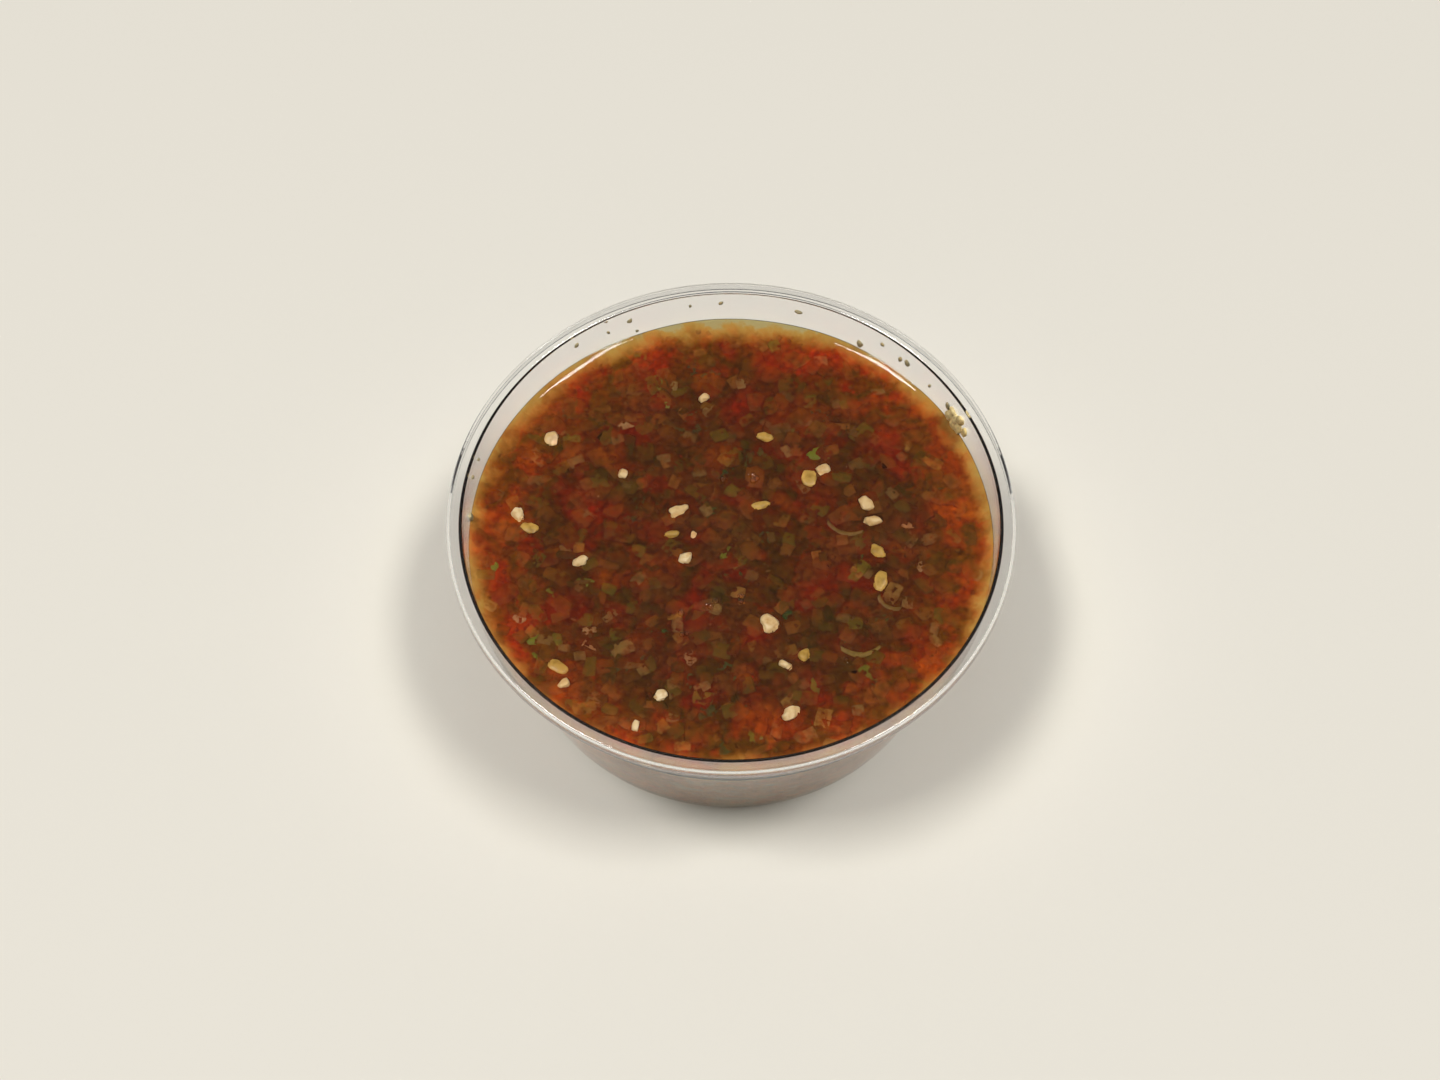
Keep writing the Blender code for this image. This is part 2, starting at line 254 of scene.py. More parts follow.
cup_section = list(reversed(inner_outline)) + sheet_outline
section_mesh = bpy.data.meshes.new("cup_section")
section_mesh.from_pydata(
    [(point.x - TURNING_AXIS, -point.y, 0.0) for point in cup_section],
    [(i, i + 1) for i in range(len(cup_section) - 1)],
    [],
)
cup = made_by(
    turned, "portion_cup", section_mesh, {"Turns": CUP_TURNS, "Axis": TURNING_AXIS, "Finish": pet}
)
closed_outwards(cup.data)
stands_for(cup, "cup")

# WHERE THE CHOPPED PIECES LIE
# The salad is chopped by hand into bits of 1 to 7 mm, which float in their juice and show at
# its surface. Each row is, in mm, the middle x, middle y, length, width and turn in degrees.
LEVEL = 23.7 * MM
GARLIC = (
    (-24.1, 15.8, 2.4, 2.0, 100),
    (-14.4, 10.2, 1.5, 1.3, 60),
    (-6.9, 4.4, 2.9, 1.8, 25),
    (-28.2, 3.8, 2.3, 1.6, 110),
    (-19.8, -3.2, 2.3, 1.4, 15),
    (-6.0, -2.7, 2.0, 1.7, 70),
    (5.0, -12.4, 2.8, 2.3, 110),
    (7.6, -25.5, 2.7, 1.9, 40),
    (-9.0, -22.9, 2.0, 1.7, 20),
    (-12.2, -27.3, 1.8, 1.0, 80),
    (17.9, 5.5, 2.3, 2.0, 120),
    (18.8, 3.0, 2.6, 1.4, 10),
    (12.3, 10.8, 2.0, 1.6, 30),
    (-3.5, 22.2, 1.7, 1.1, 30),
    (-21.4, -21.3, 2.0, 1.2, 35),
    (7.0, -18.6, 2.0, 1.0, -25),
)
SEEDS = (
    (-26.5, 1.8, 2.7, 1.6, -20),
    (-22.3, -18.9, 2.9, 1.7, -40),
    (19.3, -1.7, 2.5, 1.7, -50),
    (19.5, -6.2, 3.2, 1.9, 80),
    (9.4, -17.1, 2.0, 1.6, 70),
    (10.4, 9.5, 2.6, 2.0, 95),
    (4.6, 16.0, 2.4, 1.6, -10),
    (-7.8, 0.9, 2.2, 1.0, 10),
    (4.0, 5.3, 2.6, 1.2, 15),
)
ONION = (
    (-14.1, 17.9, 2.6, 1.8, 0),
    (-18.4, -13.6, 2.3, 1.6, 10),
    (-18.1, -15.4, 2.4, 1.8, -20),
    (-5.4, -17.0, 2.9, 2.5, 60),
    (-27.6, -11.7, 2.2, 2.0, 30),
    (-17.9, 7.6, 2.4, 2.0, 75),
    (23.4, 2.2, 1.8, 1.2, -30),
    (24.9, -3.6, 2.4, 1.6, 60),
)
PEPPERS = (
    (-10.4, 24.8, 3.8, 2.6, -55),
    (11.5, 13.4, 3.2, 2.2, 15),
    (-0.5, -1.7, 3.0, 2.4, 40),
    (18.1, -19.6, 4.0, 3.4, 20),
    (2.9, -28.5, 3.2, 2.4, -60),
    (-19.3, -6.5, 3.6, 2.2, -10),
    (-23.5, -8.3, 2.6, 1.7, -60),
    (-25.7, -14.8, 2.4, 2.0, 15),
    (-25.4, -17.9, 2.8, 2.0, -70),
    (-31.0, -4.5, 2.6, 1.4, 85),
    (10.9, -21.5, 3.4, 1.9, 75),
    (-9.3, 21.5, 3.0, 2.2, -30),
)
TOMATOES = (
    (-30.6, 1.6, 5.2, 3.4, 85),
    (-18.7, 24.1, 6.4, 3.4, 30),
    (-5.6, 13.1, 6.8, 4.0, 5),
    (18.0, 14.9, 7.6, 4.8, -20),
    (1.4, -14.8, 5.6, 4.2, 80),
    (14.1, -25.8, 6.2, 3.6, 20),
    (5.8, -30.2, 5.4, 2.2, 12),
    (-16.0, -23.5, 6.4, 4.4, -35),
    (-24.0, 8.6, 6.0, 4.4, 70),
    (25.6, -8.4, 6.2, 3.8, 75),
    (6.6, 27.4, 6.8, 3.6, -8),
    (8.2, 11.6, 4.8, 3.6, 35),
)
LEAVES = (
    (-8.8, 31.4, 3.0, 1.2, 15),
    (-3.1, 25.3, 3.6, 2.6, 20),
    (-7.2, 17.1, 3.8, 1.4, -15),
    (-4.0, 17.4, 2.6, 1.5, 20),
    (3.1, 12.5, 3.6, 3.2, 35),
    (0.6, 14.6, 3.4, 1.8, -40),
    (23.8, 12.2, 4.6, 3.2, 10),
    (-12.7, 4.7, 3.8, 2.8, 50),
    (-10.5, 6.8, 3.0, 2.0, -25),
    (1.7, -7.8, 3.0, 2.6, -45),
    (8.4, -11.4, 3.4, 2.0, -10),
    (-9.4, -17.3, 4.6, 2.0, 10),
    (-15.3, -19.7, 4.2, 1.8, 15),
    (-1.3, -20.3, 4.2, 3.2, 30),
    (-4.4, -21.0, 3.0, 2.2, -60),
    (19.8, -21.9, 3.8, 1.8, -15),
    (-3.5, -25.8, 3.6, 2.4, 40),
    (13.8, -14.6, 2.6, 1.8, 70),
)
STEMS = ((16.9, -16.4, 5.4, 0.8, 6), (14.9, 1.6, 4.8, 0.6, -18), (20.4, -9.6, 3.4, 0.7, -35))
# Smaller bits lie between these, spread evenly by a seeded rule.
BIT_SEED = 29
BIT_COUNT = 130
BIT_TRIES = 14
BIT_LENGTH = (1.8 * MM, 3.4 * MM)
BIT_SLIMNESS = (0.55, 0.9)
BIT_PROUD = (0.30 * MM, 0.45 * MM)
BIT_ROUNDNESS = (0.2, 0.6)
LEAF_SHARE = 0.2
BIT_REACH = 1.5 * MM
BIT_ROOM = 1.0 * MM
SURFACE_RADIUS = 33.99 * MM
PIECE_MARGIN = 0.4 * MM


def kept_inside(x, y, reach):
    """The place drawn in towards the middle where its piece would reach the wall."""
    distance = math.hypot(x, y)
    most = SURFACE_RADIUS - PIECE_MARGIN - reach
    if distance <= most:
        return x, y
    return x * most / distance, y * most / distance


def placed(rows):
    """The rows in metres, each (x, y, length, width, turn in radians), clear of the wall."""
    result = []
    for x, y, length, width, turn in rows:
        x, y = kept_inside(x * MM, y * MM, 0.55 * length * MM)
        result.append((x, y, length * MM, width * MM, math.radians(turn)))
    return result


def smaller_bits():
    """(x, y, length, width, turn), how proud, how round and whether a leaf, for each bit."""
    rng = random.Random(BIT_SEED)
    taken = []
    for rows in (TOMATOES, GARLIC, SEEDS, ONION, PEPPERS, STEMS, LEAVES):
        taken += [(x, y, 0.5 * width) for x, y, _, width, _ in placed(rows)]
    spots = []
    limit = SURFACE_RADIUS - PIECE_MARGIN - BIT_REACH
    for _ in range(BIT_COUNT):
        best, best_room = None, -1.0
        for _ in range(BIT_TRIES):
            radius = limit * math.sqrt(rng.random())
            angle = rng.uniform(0, math.tau)
            x, y = radius * math.cos(angle), radius * math.sin(angle)
            room = min(math.hypot(x - other[0], y - other[1]) - other[2] for other in taken)
            if room > best_room:
                best, best_room = (x, y), room
        spots.append(best)
        taken.append((*best, BIT_ROOM))
    for x, y in spots:
        length = rng.uniform(*BIT_LENGTH)
        width = length * rng.uniform(*BIT_SLIMNESS)
        turn = math.radians(rng.uniform(0, 180))
        proud = rng.uniform(*BIT_PROUD)
        roundness = rng.uniform(*BIT_ROUNDNESS)
        leafy = rng.random() < LEAF_SHARE
        x, y = kept_inside(x, y, 0.55 * length)
        yield (x, y, length, width, turn), proud, roundness, leafy


# How far each kind stands out of the juice, and how high the juice climbs over it.
PROUD = {
    "garlic": (0.50 * MM, 0.22 * MM),
    "seed": (0.35 * MM, 0.22 * MM),
    "onion": (-0.04 * MM, 0.12 * MM),
    "pepper": (-0.04 * MM, 0.12 * MM),
    "tomato": (-0.30 * MM, 0.10 * MM),
    "stem": (0.12 * MM, 0.12 * MM),
    "leaf": (-0.12 * MM, 0.06 * MM),
    "bit": (-0.42 * MM, 0.04 * MM),
}
KIND_ROWS = {
    "garlic": placed(GARLIC),
    "seed": placed(SEEDS),
    "onion": placed(ONION),
    "pepper": placed(PEPPERS),
    "tomato": placed(TOMATOES),
    "stem": placed(STEMS),
    "leaf": placed(LEAVES),
}
BITS = list(smaller_bits())

# THE JUICE'S SURFACE
# Thin tomato and lemon juice. It is level, drawn up at the clear wall by wetting, and lies as
# a low dome over each piece that floats at the surface. The bits below keep under it.
WETTING_RISE = 0.9 * MM
WETTING_REACH = 1.1 * MM
DOME_REACH = 0.9 * MM
RIPPLE = 0.02 * MM
# The wall is what lies outside the foot and under the lip.
WALL_OUTSIDE = 25.6 * MM
WALL_UNDER = 29.0 * MM


def outline_radius(outline, heights):
    """The outline's radius at these heights, on its wall from the foot to the mouth."""
    wall = [point for point in outline if point.x > WALL_OUTSIDE and point.y < WALL_UNDER]
    wall = sorted((point.y, point.x) for point in wall)
    return np.interp(heights, [row[0] for row in wall], [row[1] for row in wall])


def surface_height(x, y):
    """How high the juice stands at these places."""
    rows = [(row, PROUD[kind][1]) for kind in KIND_ROWS for row in KIND_ROWS[kind]]
    rows += [(bit[0], PROUD["leaf" if bit[3] else "bit"][1]) for bit in BITS]
    domes = np.zeros_like(x)
    for (middle_x, middle_y, length, width, turn), rise in rows:
        along = (x - middle_x) * math.cos(turn) + (y - middle_y) * math.sin(turn)
        across = (y - middle_y) * math.cos(turn) - (x - middle_x) * math.sin(turn)
        away = (along / (length / 2 + DOME_REACH)) ** 2 + (across / (width / 2 + DOME_REACH)) ** 2
        domes = np.maximum(domes, rise * np.clip(1 - away, 0, 1) ** 2)
    gap = outline_radius(inner_outline, LEVEL + WETTING_RISE) - np.hypot(x, y)
    angle = np.arctan2(y, x)
    uneven = 1 + 0.10 * np.sin(5 * angle + 1.0) + 0.07 * np.sin(11 * angle + 2.0)
    wetting = WETTING_RISE * uneven * np.exp(-np.maximum(gap, 0) / WETTING_REACH)
    ripple = RIPPLE * (np.sin(x / (2.1 * MM) + 1.3) + np.sin(y / (1.7 * MM) + x / (4.1 * MM)))
    return LEVEL + domes + wetting + ripple * np.clip(gap / (3 * MM), 0, 1)


# THE HEAP
# The mass of the salad under the surface: seeds, pulp and bits so close that only
# their colours tell them apart. It keeps clear of the cup's wall, where the juice is thin.
HEAP_TURNS = 180
HEAP_TOP = LEVEL - 0.34 * MM
HEAP_FOOT_GAP = 0.3 * MM
HEAP_RELIEF = 0.35 * MM
HEAP_LUMPS = (1.6 * MM, 0.7 * MM)
HEAP_STEP = 0.6 * MM
# Its top follows the domes of the skin, from this far under the level and upwards.
DOMED_FROM = 0.9 * MM
DOMED_OVER = 0.4 * MM
# Few bits lie in the thin juice at the wall, from this far under the level and upwards.
SPARSE_REACH = 3.6 * MM
SPARSE_DEPTH = 6 * MM
SPARSE_OVER = 4 * MM
SPARSENESS = 1.3


def ring_mesh(name, rings):
    """A closed body through rings of points; the first and last ring are single poles."""
    count = len(rings[1])
    vertices = [rings[0][0]]
    faces = []
    for ring in rings[1:-1]:
        vertices += [tuple(point) for point in ring]
    vertices.append(rings[-1][0])
    last = len(vertices) - 1
    for i in range(count):
        after = (i + 1) % count
        faces.append((0, 1 + i, 1 + after))
        for ring in range(len(rings) - 3):
            base = 1 + ring * count
            faces.append((base + i, base + count + i, base + count + after, base + after))
        faces.append((last, last - count + after, last - count + i))
    mesh = bpy.data.meshes.new(name)
    mesh.from_pydata(vertices, [], faces)
    mesh.shade_smooth()
    closed_outwards(mesh)
    return mesh


def round_rings(points, turns):
    """Rings of points from an outline of (radius, height) that starts and ends on the axis."""
    angles = np.linspace(0, math.tau, turns, endpoint=False)
    rings = [[(0.0, 0.0, points[0][1])]]
    for radius, height in points[1:-1]:
        ring = np.stack(
            [radius * np.cos(angles), radius * np.sin(angles), np.full(turns, height)], axis=1
        )
        rings.append(ring)
    rings.append([(0.0, 0.0, points[-1][1])])
    return rings


def read_points(mesh, what="co"):
    """The places of the mesh's vertices as an array, or their normals."""
    points = np.empty(len(mesh.vertices) * 3)
    mesh.vertices.foreach_get(what, points)
    return points.reshape(-1, 3)


def write_points(mesh, points):
    """Moves the mesh's vertices to these places."""
    mesh.vertices.foreach_set("co", points.astype(np.float32).ravel())
    mesh.update()


def set_attribute(mesh, name, values):
    """A named number for each vertex, for the material or a tree to read."""
    attribute = mesh.attributes.new(name, "FLOAT", "POINT")
    attribute.data.foreach_set("value", np.asarray(values, dtype=np.float32))


# Near the wall the pulp is finer and is drawn up with the juice, as a thin brim. In mm: the
# distance from the wall and the depth under the skin, then how far down and the gap there.
BRIM_DEPTHS = ((0.02, 0.02), (0.6, 0.14), (1.5, 0.22), (3.0, 0.3), (5.0, 0.34))
BRIM_GAPS = ((0.0, 0.03), (1.0, 0.1), (3.0, 0.3), (6.0, 0.4), (19.0, 0.4), (22.0, 0.12))

inner_edge = float(outline_radius(inner_outline, LEVEL))
flat_radius = inner_edge - BRIM_DEPTHS[-1][0] * MM - 0.3 * MM
heap_outline = [(radius, HEAP_TOP) for radius in np.arange(0, flat_radius, HEAP_STEP)]
brim_distances = np.array([0.02, 0.3, 0.6, 1.0, 1.5, 2.0, 2.5, 3.0, 3.6, 4.3, 5.0]) * MM
for distance in brim_distances[::-1]:
    depth = np.interp(distance / MM, *np.array(BRIM_DEPTHS).T) * MM
    height = LEVEL + WETTING_RISE * math.exp(-distance / WETTING_REACH) - float(depth)
    heap_outline.append((float(outline_radius(inner_outline, height)) - float(distance), height))
heap_floor = RECESS_HEIGHT + SHEET + HEAP_FOOT_GAP
moat_floor = SHEET + 0.4 * HEAP_FOOT_GAP
brim_top = heap_outline[-1][1]
for height in np.arange(brim_top - 0.4 * MM, moat_floor + 0.3 * MM, -HEAP_STEP):
    gap = np.interp((brim_top - height) / MM, *np.array(BRIM_GAPS).T) * MM
    heap_outline.append((float(outline_radius(inner_outline, height) - gap), float(height)))
heap_outline.append((heap_outline[-1][0] - 0.4 * MM, moat_floor))
heap_outline.append((RECESS_RADIUS + 0.2 * MM, moat_floor))
base_radii = np.arange(RECESS_RADIUS - 0.9 * MM, 0, -0.8 * MM)
heap_outline += [(radius, heap_floor) for radius in base_radii]
heap_outline.append((0.0, heap_floor))
heap_mesh = ring_mesh("salad_heap", round_rings(heap_outline, HEAP_TURNS))

normals = read_points(heap_mesh, "normal")
heap_points = read_points(heap_mesh)
wall_gap = outline_radius(inner_outline, heap_points[:, 2]) - np.hypot(*heap_points[:, :2].T)
skin_gap = surface_height(heap_points[:, 0], heap_points[:, 1]) - heap_points[:, 2]
over_recess = np.hypot(*heap_points[:, :2].T) < RECESS_RADIUS
foot_gap = heap_points[:, 2] - SHEET - np.where(over_recess, RECESS_HEIGHT, 0)
nearest_gap = np.minimum(np.minimum(wall_gap, skin_gap), foot_gap)
wide_lumps, fine_lumps = [
    np.array([noise.noise(Vector(point) / size) for point in heap_points]) for size in HEAP_LUMPS
]
skin_rise = surface_height(heap_points[:, 0], heap_points[:, 1]) - LEVEL
level_rise = WETTING_RISE * np.exp(-np.maximum(wall_gap, 0) / WETTING_REACH)
near_top = np.clip((heap_points[:, 2] - LEVEL + DOMED_FROM) / DOMED_OVER, 0, 1)
heap_points[:, 2] += (skin_rise - level_rise) * near_top
relief = (wide_lumps + 0.5 * fine_lumps) * np.minimum(HEAP_RELIEF, 0.45 * nearest_gap)
write_points(heap_mesh, heap_points + normals * relief[:, None])
# The room between the heap and the juice's own skin, for the bits that float there.
on_top = np.clip(normals[:, 2], 0, 1)
under = np.clip(-normals[:, 2], 0, 1)
beside = 1 - on_top - under
set_attribute(heap_mesh, "room", on_top * skin_gap + beside * wall_gap + under * foot_gap)
thin = np.clip(1 - wall_gap / SPARSE_REACH, 0, 1)
thin *= np.clip((heap_points[:, 2] - LEVEL + SPARSE_DEPTH) / SPARSE_OVER, 0, 1)
set_attribute(heap_mesh, "crowd", 1 - np.clip(thin * SPARSENESS, 0, 1))


def ramp_of(tree, factor, stops):
    """A colour ramp over a factor, from (position, hex colour) pairs."""
    ramp = add_node(tree, "ShaderNodeValToRGB", {0: factor})
    elements = ramp.color_ramp.elements
    while len(elements) < len(stops):
        elements.new(0.5)
    for element, (position, colour) in zip(elements, stops):
        element.position = position
        element.color = linear(colour)
    return ramp


def mixed(tree, share, first, second, blend="MIX"):
    """Two colours mixed by a share; either may be a hex colour."""
    first, second = [linear(part) if isinstance(part, str) else part for part in (first, second)]
    sockets = {0: share, 6: first, 7: second}
    settings = {"data_type": "RGBA", "blend_type": blend}
    return add_node(tree, "ShaderNodeMix", sockets, **settings).outputs[2]


def ranged(tree, value, start, end, smooth=False):
    """0 to 1 as the value goes from start to end."""
    return add_node(
        tree,
        "ShaderNodeMapRange",
        {"Value": value, "From Min": start, "From Max": end},
        interpolation_type="SMOOTHSTEP" if smooth else "LINEAR",
    )


def calculated(tree, operation, first, second):
    """One sum of two numbers, nodes or sockets."""
    return add_node(tree, "ShaderNodeMath", {0: first, 1: second}, operation=operation)


# The inner wall's radius, as a straight line over the height, for the colours below.
WALL_FOOT = 27.53 * MM
WALL_TAPER = 0.268
# Fine pulp starts to hide what lies deeper than the first in the cloudy juice.
CLEAR_DEPTH = 0.05 * MM
CLOUDED_DEPTH = 0.7 * MM
CLOUD_SIZE = 8.0 * MM
CLOUD_STOPS = (
    (0.30, "8a2208"),
    (0.40, "702206"),
    (0.47, "5a2c04"),
    (0.54, "4a2e04"),
    (0.60, "6c2806"),
    (0.70, "8e4006"),
)
GRAIN_SIZE = 0.9 * MM
GRAIN_STOPS = ((0.3, "989898"), (0.7, "d4d4d4"))
# Pieces sunk in it show only as dim patches.
SUNK_SIZE = 3.4 * MM
SUNK_RAGGED = 2.2 * MM
SUNK_SHOWS = 0.6
SUNK_STOPS = (
    (0.0, "402e06"),
    (0.16, "503a0a"),
    (0.30, "662c08"),
    (0.44, "7c1e08"),
    (0.56, "684018"),
    (0.70, "5a240a"),
    (0.86, "7a441c"),
    (1.0, "4a3a0c"),
)
# Brim colours, inwards to the wall: the pulp's orange-brown, turning to a pale tan at the wall that is
# painted light, for light shining in through the thin juice there.
BRIM_STOPS = ((0.0, "84500f"), (0.35, "9c6a2a"), (0.6, "9e7836"), (0.85, "96793a"), (1.0, "8c8056"))
BRIM_REACH = (4.4 * MM, 1.6 * MM)
BRIM_RAGGED = 3.4 * MM
BRIM_PATCHES = 3.2 * MM
# Painted light: the pale brim is painted narrower at the left and right, where less light shines
# through the thin juice at the wall.
BRIM_PAINTED_LIGHT_NARROWS = 0.035
# Painted light: the salad's colour is painted brighter near the clear wall, where more light reaches
# it.
BRIM_GLOW = (10.0 * MM, 1.0 * MM)
BRIM_LIGHT = (2.3, 1.9, 1.3, 1.0)
# Painted light: the heap's side below its top, seen through the clear wall, is painted brighter and
# paler for light reaching it through the wall. This painted colour also covers the pieces there.
SIDE_PAINTED_LIT_COLOUR = "f4ac62"
SIDE_LIGHT = (5.3, 4.6, 4.3, 1.0)
SIDE_PALE = 0.65
SIDE_COVER = 0.7
SIDE_FROM = (LEVEL - 1.0 * MM, LEVEL - 4.0 * MM)
# Painted shade: little light reaches its foot, so the painted side light fades out towards it.
FOOT_SHADE = (0.4 * MM, 5.0 * MM)
# Light spreads in the cloudy juice, so a veiled piece is lit nearly as the level skin is.
SKIN_LIGHTS = 0.85
SKIN_REACH = (LEVEL - 2.5 * MM, LEVEL - 1.0 * MM)


def cloudy_juice(tree):
    """The colour that the cloudy juice has here, with painted light near the clear wall and on the
    heap's side, how much of a piece it hides, how far its own level skin lights it, and the place."""
    place = add_node(tree, "ShaderNodeTexCoord").outputs["Object"]
    parts = add_node(tree, "ShaderNodeSeparateXYZ", {0: place})
    height = parts.outputs[2]
    flat = add_node(tree, "ShaderNodeVectorMath", {0: place, 1: (1.0, 1.0, 0.0)}, operation="MULTIPLY")
    radius = add_node(tree, "ShaderNodeVectorMath", {0: flat}, operation="LENGTH").outputs["Value"]
    wall = calculated(tree, "ADD", calculated(tree, "MULTIPLY", height, WALL_TAPER), WALL_FOOT)
    from_wall = calculated(tree, "SUBTRACT", wall, radius)
    from_skin = calculated(tree, "SUBTRACT", LEVEL, height)
    from_base = calculated(tree, "SUBTRACT", height, RECESS_HEIGHT + SHEET)
    depth = calculated(tree, "MINIMUM", from_wall, from_skin)
    depth = calculated(tree, "MINIMUM", depth, from_base)
    wide = add_node(
        tree, "ShaderNodeTexNoise", {"Scale": 1 / CLOUD_SIZE, "Detail": 4.0, "Vector": place}
    )
    colour = ramp_of(tree, wide.outputs["Fac"], CLOUD_STOPS)
    fine = add_node(
        tree, "ShaderNodeTexNoise", {"Scale": 1 / GRAIN_SIZE, "Detail": 3.0, "Vector": place}
    )
    grain = ramp_of(tree, fine.outputs["Fac"], GRAIN_STOPS)
    bent = add_node(
        tree,
        "ShaderNodeVectorMath",
        {0: fine.outputs["Color"], 1: [SUNK_RAGGED] * 3, 2: place},
        operation="MULTIPLY_ADD",
    )
    sunk = add_node(
        tree,
        "ShaderNodeTexVoronoi",
        {"Scale": 1 / SUNK_SIZE, "Smoothness": 0.35, "Vector": bent},
        feature="SMOOTH_F1",
    )
    pieces = add_node(tree, "ShaderNodeSeparateColor", {0: sunk.outputs["Color"]})
    seen = ranged(tree, pieces.outputs[1], 0.1, 0.9)
    seen = calculated(tree, "MULTIPLY", seen, SUNK_SHOWS)
    colour = mixed(tree, seen, colour, ramp_of(tree, pieces.outputs[0], SUNK_STOPS))
    colour = mixed(tree, 1.0, colour, grain, "MULTIPLY")
    patches = add_node(
        tree, "ShaderNodeTexNoise", {"Scale": 1 / BRIM_PATCHES, "Detail": 2.0, "Vector": bent}
    )
    ragged = calculated(
        tree, "ADD", from_wall, calculated(tree, "MULTIPLY", patches.outputs["Fac"], BRIM_RAGGED)
    )
    # Painted light: the pale brim narrows at the left and right.
    sideways = calculated(tree, "ABSOLUTE", parts.outputs[0], 0.0)
    ragged = calculated(tree, "ADD", ragged, calculated(tree, "MULTIPLY", sideways, BRIM_PAINTED_LIGHT_NARROWS))
    brim = ranged(tree, ragged, *BRIM_REACH)
    # Painted light: the colour is painted brighter near the clear wall.
    lit = mixed(tree, ranged(tree, from_wall, *BRIM_GLOW), "ffffff", BRIM_LIGHT)
    colour = add_node(tree, "ShaderNodeVectorMath", {0: colour, 1: lit}, operation="MULTIPLY")
    colour = mixed(tree, brim, colour, ramp_of(tree, brim, BRIM_STOPS))
    # Painted light on the heap's side, fading out as painted shade towards the foot.
    side = ranged(tree, height, *SIDE_FROM, smooth=True)
    side = calculated(tree, "MULTIPLY", side, ranged(tree, height, *FOOT_SHADE, smooth=True))
    bright = mixed(tree, 1.0, colour, SIDE_LIGHT, "MULTIPLY")
    pale = mixed(tree, 1.0, SIDE_PAINTED_LIT_COLOUR, grain, "MULTIPLY")
    colour = mixed(tree, side, colour, mixed(tree, SIDE_PALE, bright, pale))
    hidden = ranged(tree, depth, CLEAR_DEPTH, CLOUDED_DEPTH, smooth=True)
    hidden = calculated(tree, "MAXIMUM", hidden, calculated(tree, "MULTIPLY", side, SIDE_COVER))
    calm = ranged(tree, height, *SKIN_REACH)
    return colour, hidden, calculated(tree, "MULTIPLY", calm, SKIN_LIGHTS), place


def lit_by_skin(tree, share):
    """The normal, turned up by this share, as light spreads in cloudy juice."""
    facing = add_node(tree, "ShaderNodeNewGeometry").outputs["Normal"]
    return mixed(tree, share, facing, (0.0, 0.0, 1.0, 1.0))


def solid_material(name, roughness, ior):
    """A material that lets no light through, its tree and its shader."""
    material = bpy.data.materials.new(name)
    material.use_nodes = True
    shader = material.node_tree.nodes["Principled BSDF"]
    shader.inputs["Roughness"].default_value = roughness
    shader.inputs["IOR"].default_value = ior
    return material, material.node_tree, shader


# Soaked tomato pulp in cloudy juice: matt, brown to orange, with painted light: paler where
# the light comes in through the wall. In juice its own gloss nearly vanishes, because both bend light
# alike.
SOAKED_IOR = 1.1
heap_finish, heap_tree, heap_shader = solid_material("soaked tomato pulp", 0.6, SOAKED_IOR)
heap_colour, _, heap_calm, _ = cloudy_juice(heap_tree)
heap_tree.links.new(heap_colour, heap_shader.inputs["Base Color"])
heap_normal = lit_by_skin(heap_tree, heap_calm)
uneven_surface(heap_tree, heap_shader, 0.5 * MM, 3.0, 0.3, 0.1 * MM, Normal=heap_normal)
heap_mesh.materials.append(heap_finish)
heap = shown("salad_heap", heap_mesh)
stands_for(heap, "salad")

# THE LOOSE BITS
# Chopped tomato, onion, green pepper, herb and garlic, and the flecks of pulp that float
# loose round the heap: at the surface, along the clear wall and over the base.
WALL_CLEARANCE = 0.18 * MM
SKIN_CLEARANCE = 0.12 * MM
MOTTLED = (0.42, 0.68)
VEIL_TURNS = 7.0


def flesh(name, stops, mottle, gloss, seed, skin=None, bump=0.25, dry=0.0, veil=(0.4, 0.8)):
    """A chopped piece's material: its tone picks the colour, with mottling of a colour and a
    size. The gloss is its roughness and its index of refraction. The cloudy juice veils it all,
    and hides what lies deep, except of a dry piece."""
    material, tree, shader = solid_material(name, *gloss)
    cloud, hidden, calm, place = cloudy_juice(tree)
    tone = add_node(tree, "ShaderNodeAttribute", attribute_name="tone")
    spots = add_node(
        tree,
        "ShaderNodeTexNoise",
        {"Scale": 1 / mottle[1], "Detail": 3.0, "W": float(seed), "Vector": place},
        noise_dimensions="4D",
    )
    colour = ramp_of(tree, tone.outputs["Fac"], stops)
    colour = mixed(tree, ranged(tree, spots.outputs["Fac"], *MOTTLED), colour, mottle[0])
    if skin:
        side = add_node(tree, "ShaderNodeAttribute", attribute_name="mark")
        colour = mixed(tree, side.outputs["Fac"], colour, skin)
    soaked = calculated(tree, "MULTIPLY", tone.outputs["Fac"], VEIL_TURNS)
    soaked = calculated(tree, "PINGPONG", soaked, 1.0)
    veiled = add_node(
        tree, "ShaderNodeMapRange", {"Value": soaked, "To Min": veil[0], "To Max": veil[1]}
    )
    hidden = add_node(tree, "ShaderNodeMapRange", {"Value": hidden, "To Min": veiled, "To Max": 1.0})
    hidden = calculated(tree, "MULTIPLY", hidden, 1.0 - dry)
    tree.links.new(mixed(tree, hidden, colour, cloud), shader.inputs["Base Color"])
    calm = calculated(tree, "MULTIPLY", calm, hidden)
    raised = add_node(
        tree,
        "ShaderNodeBump",
        {
            "Strength": bump,
            "Distance": 0.1 * MM,
            "Height": spots.outputs["Fac"],
            "Normal": lit_by_skin(tree, calm),
        },
    )
    tree.links.new(raised.outputs[0], shader.inputs["Normal"])
    return material


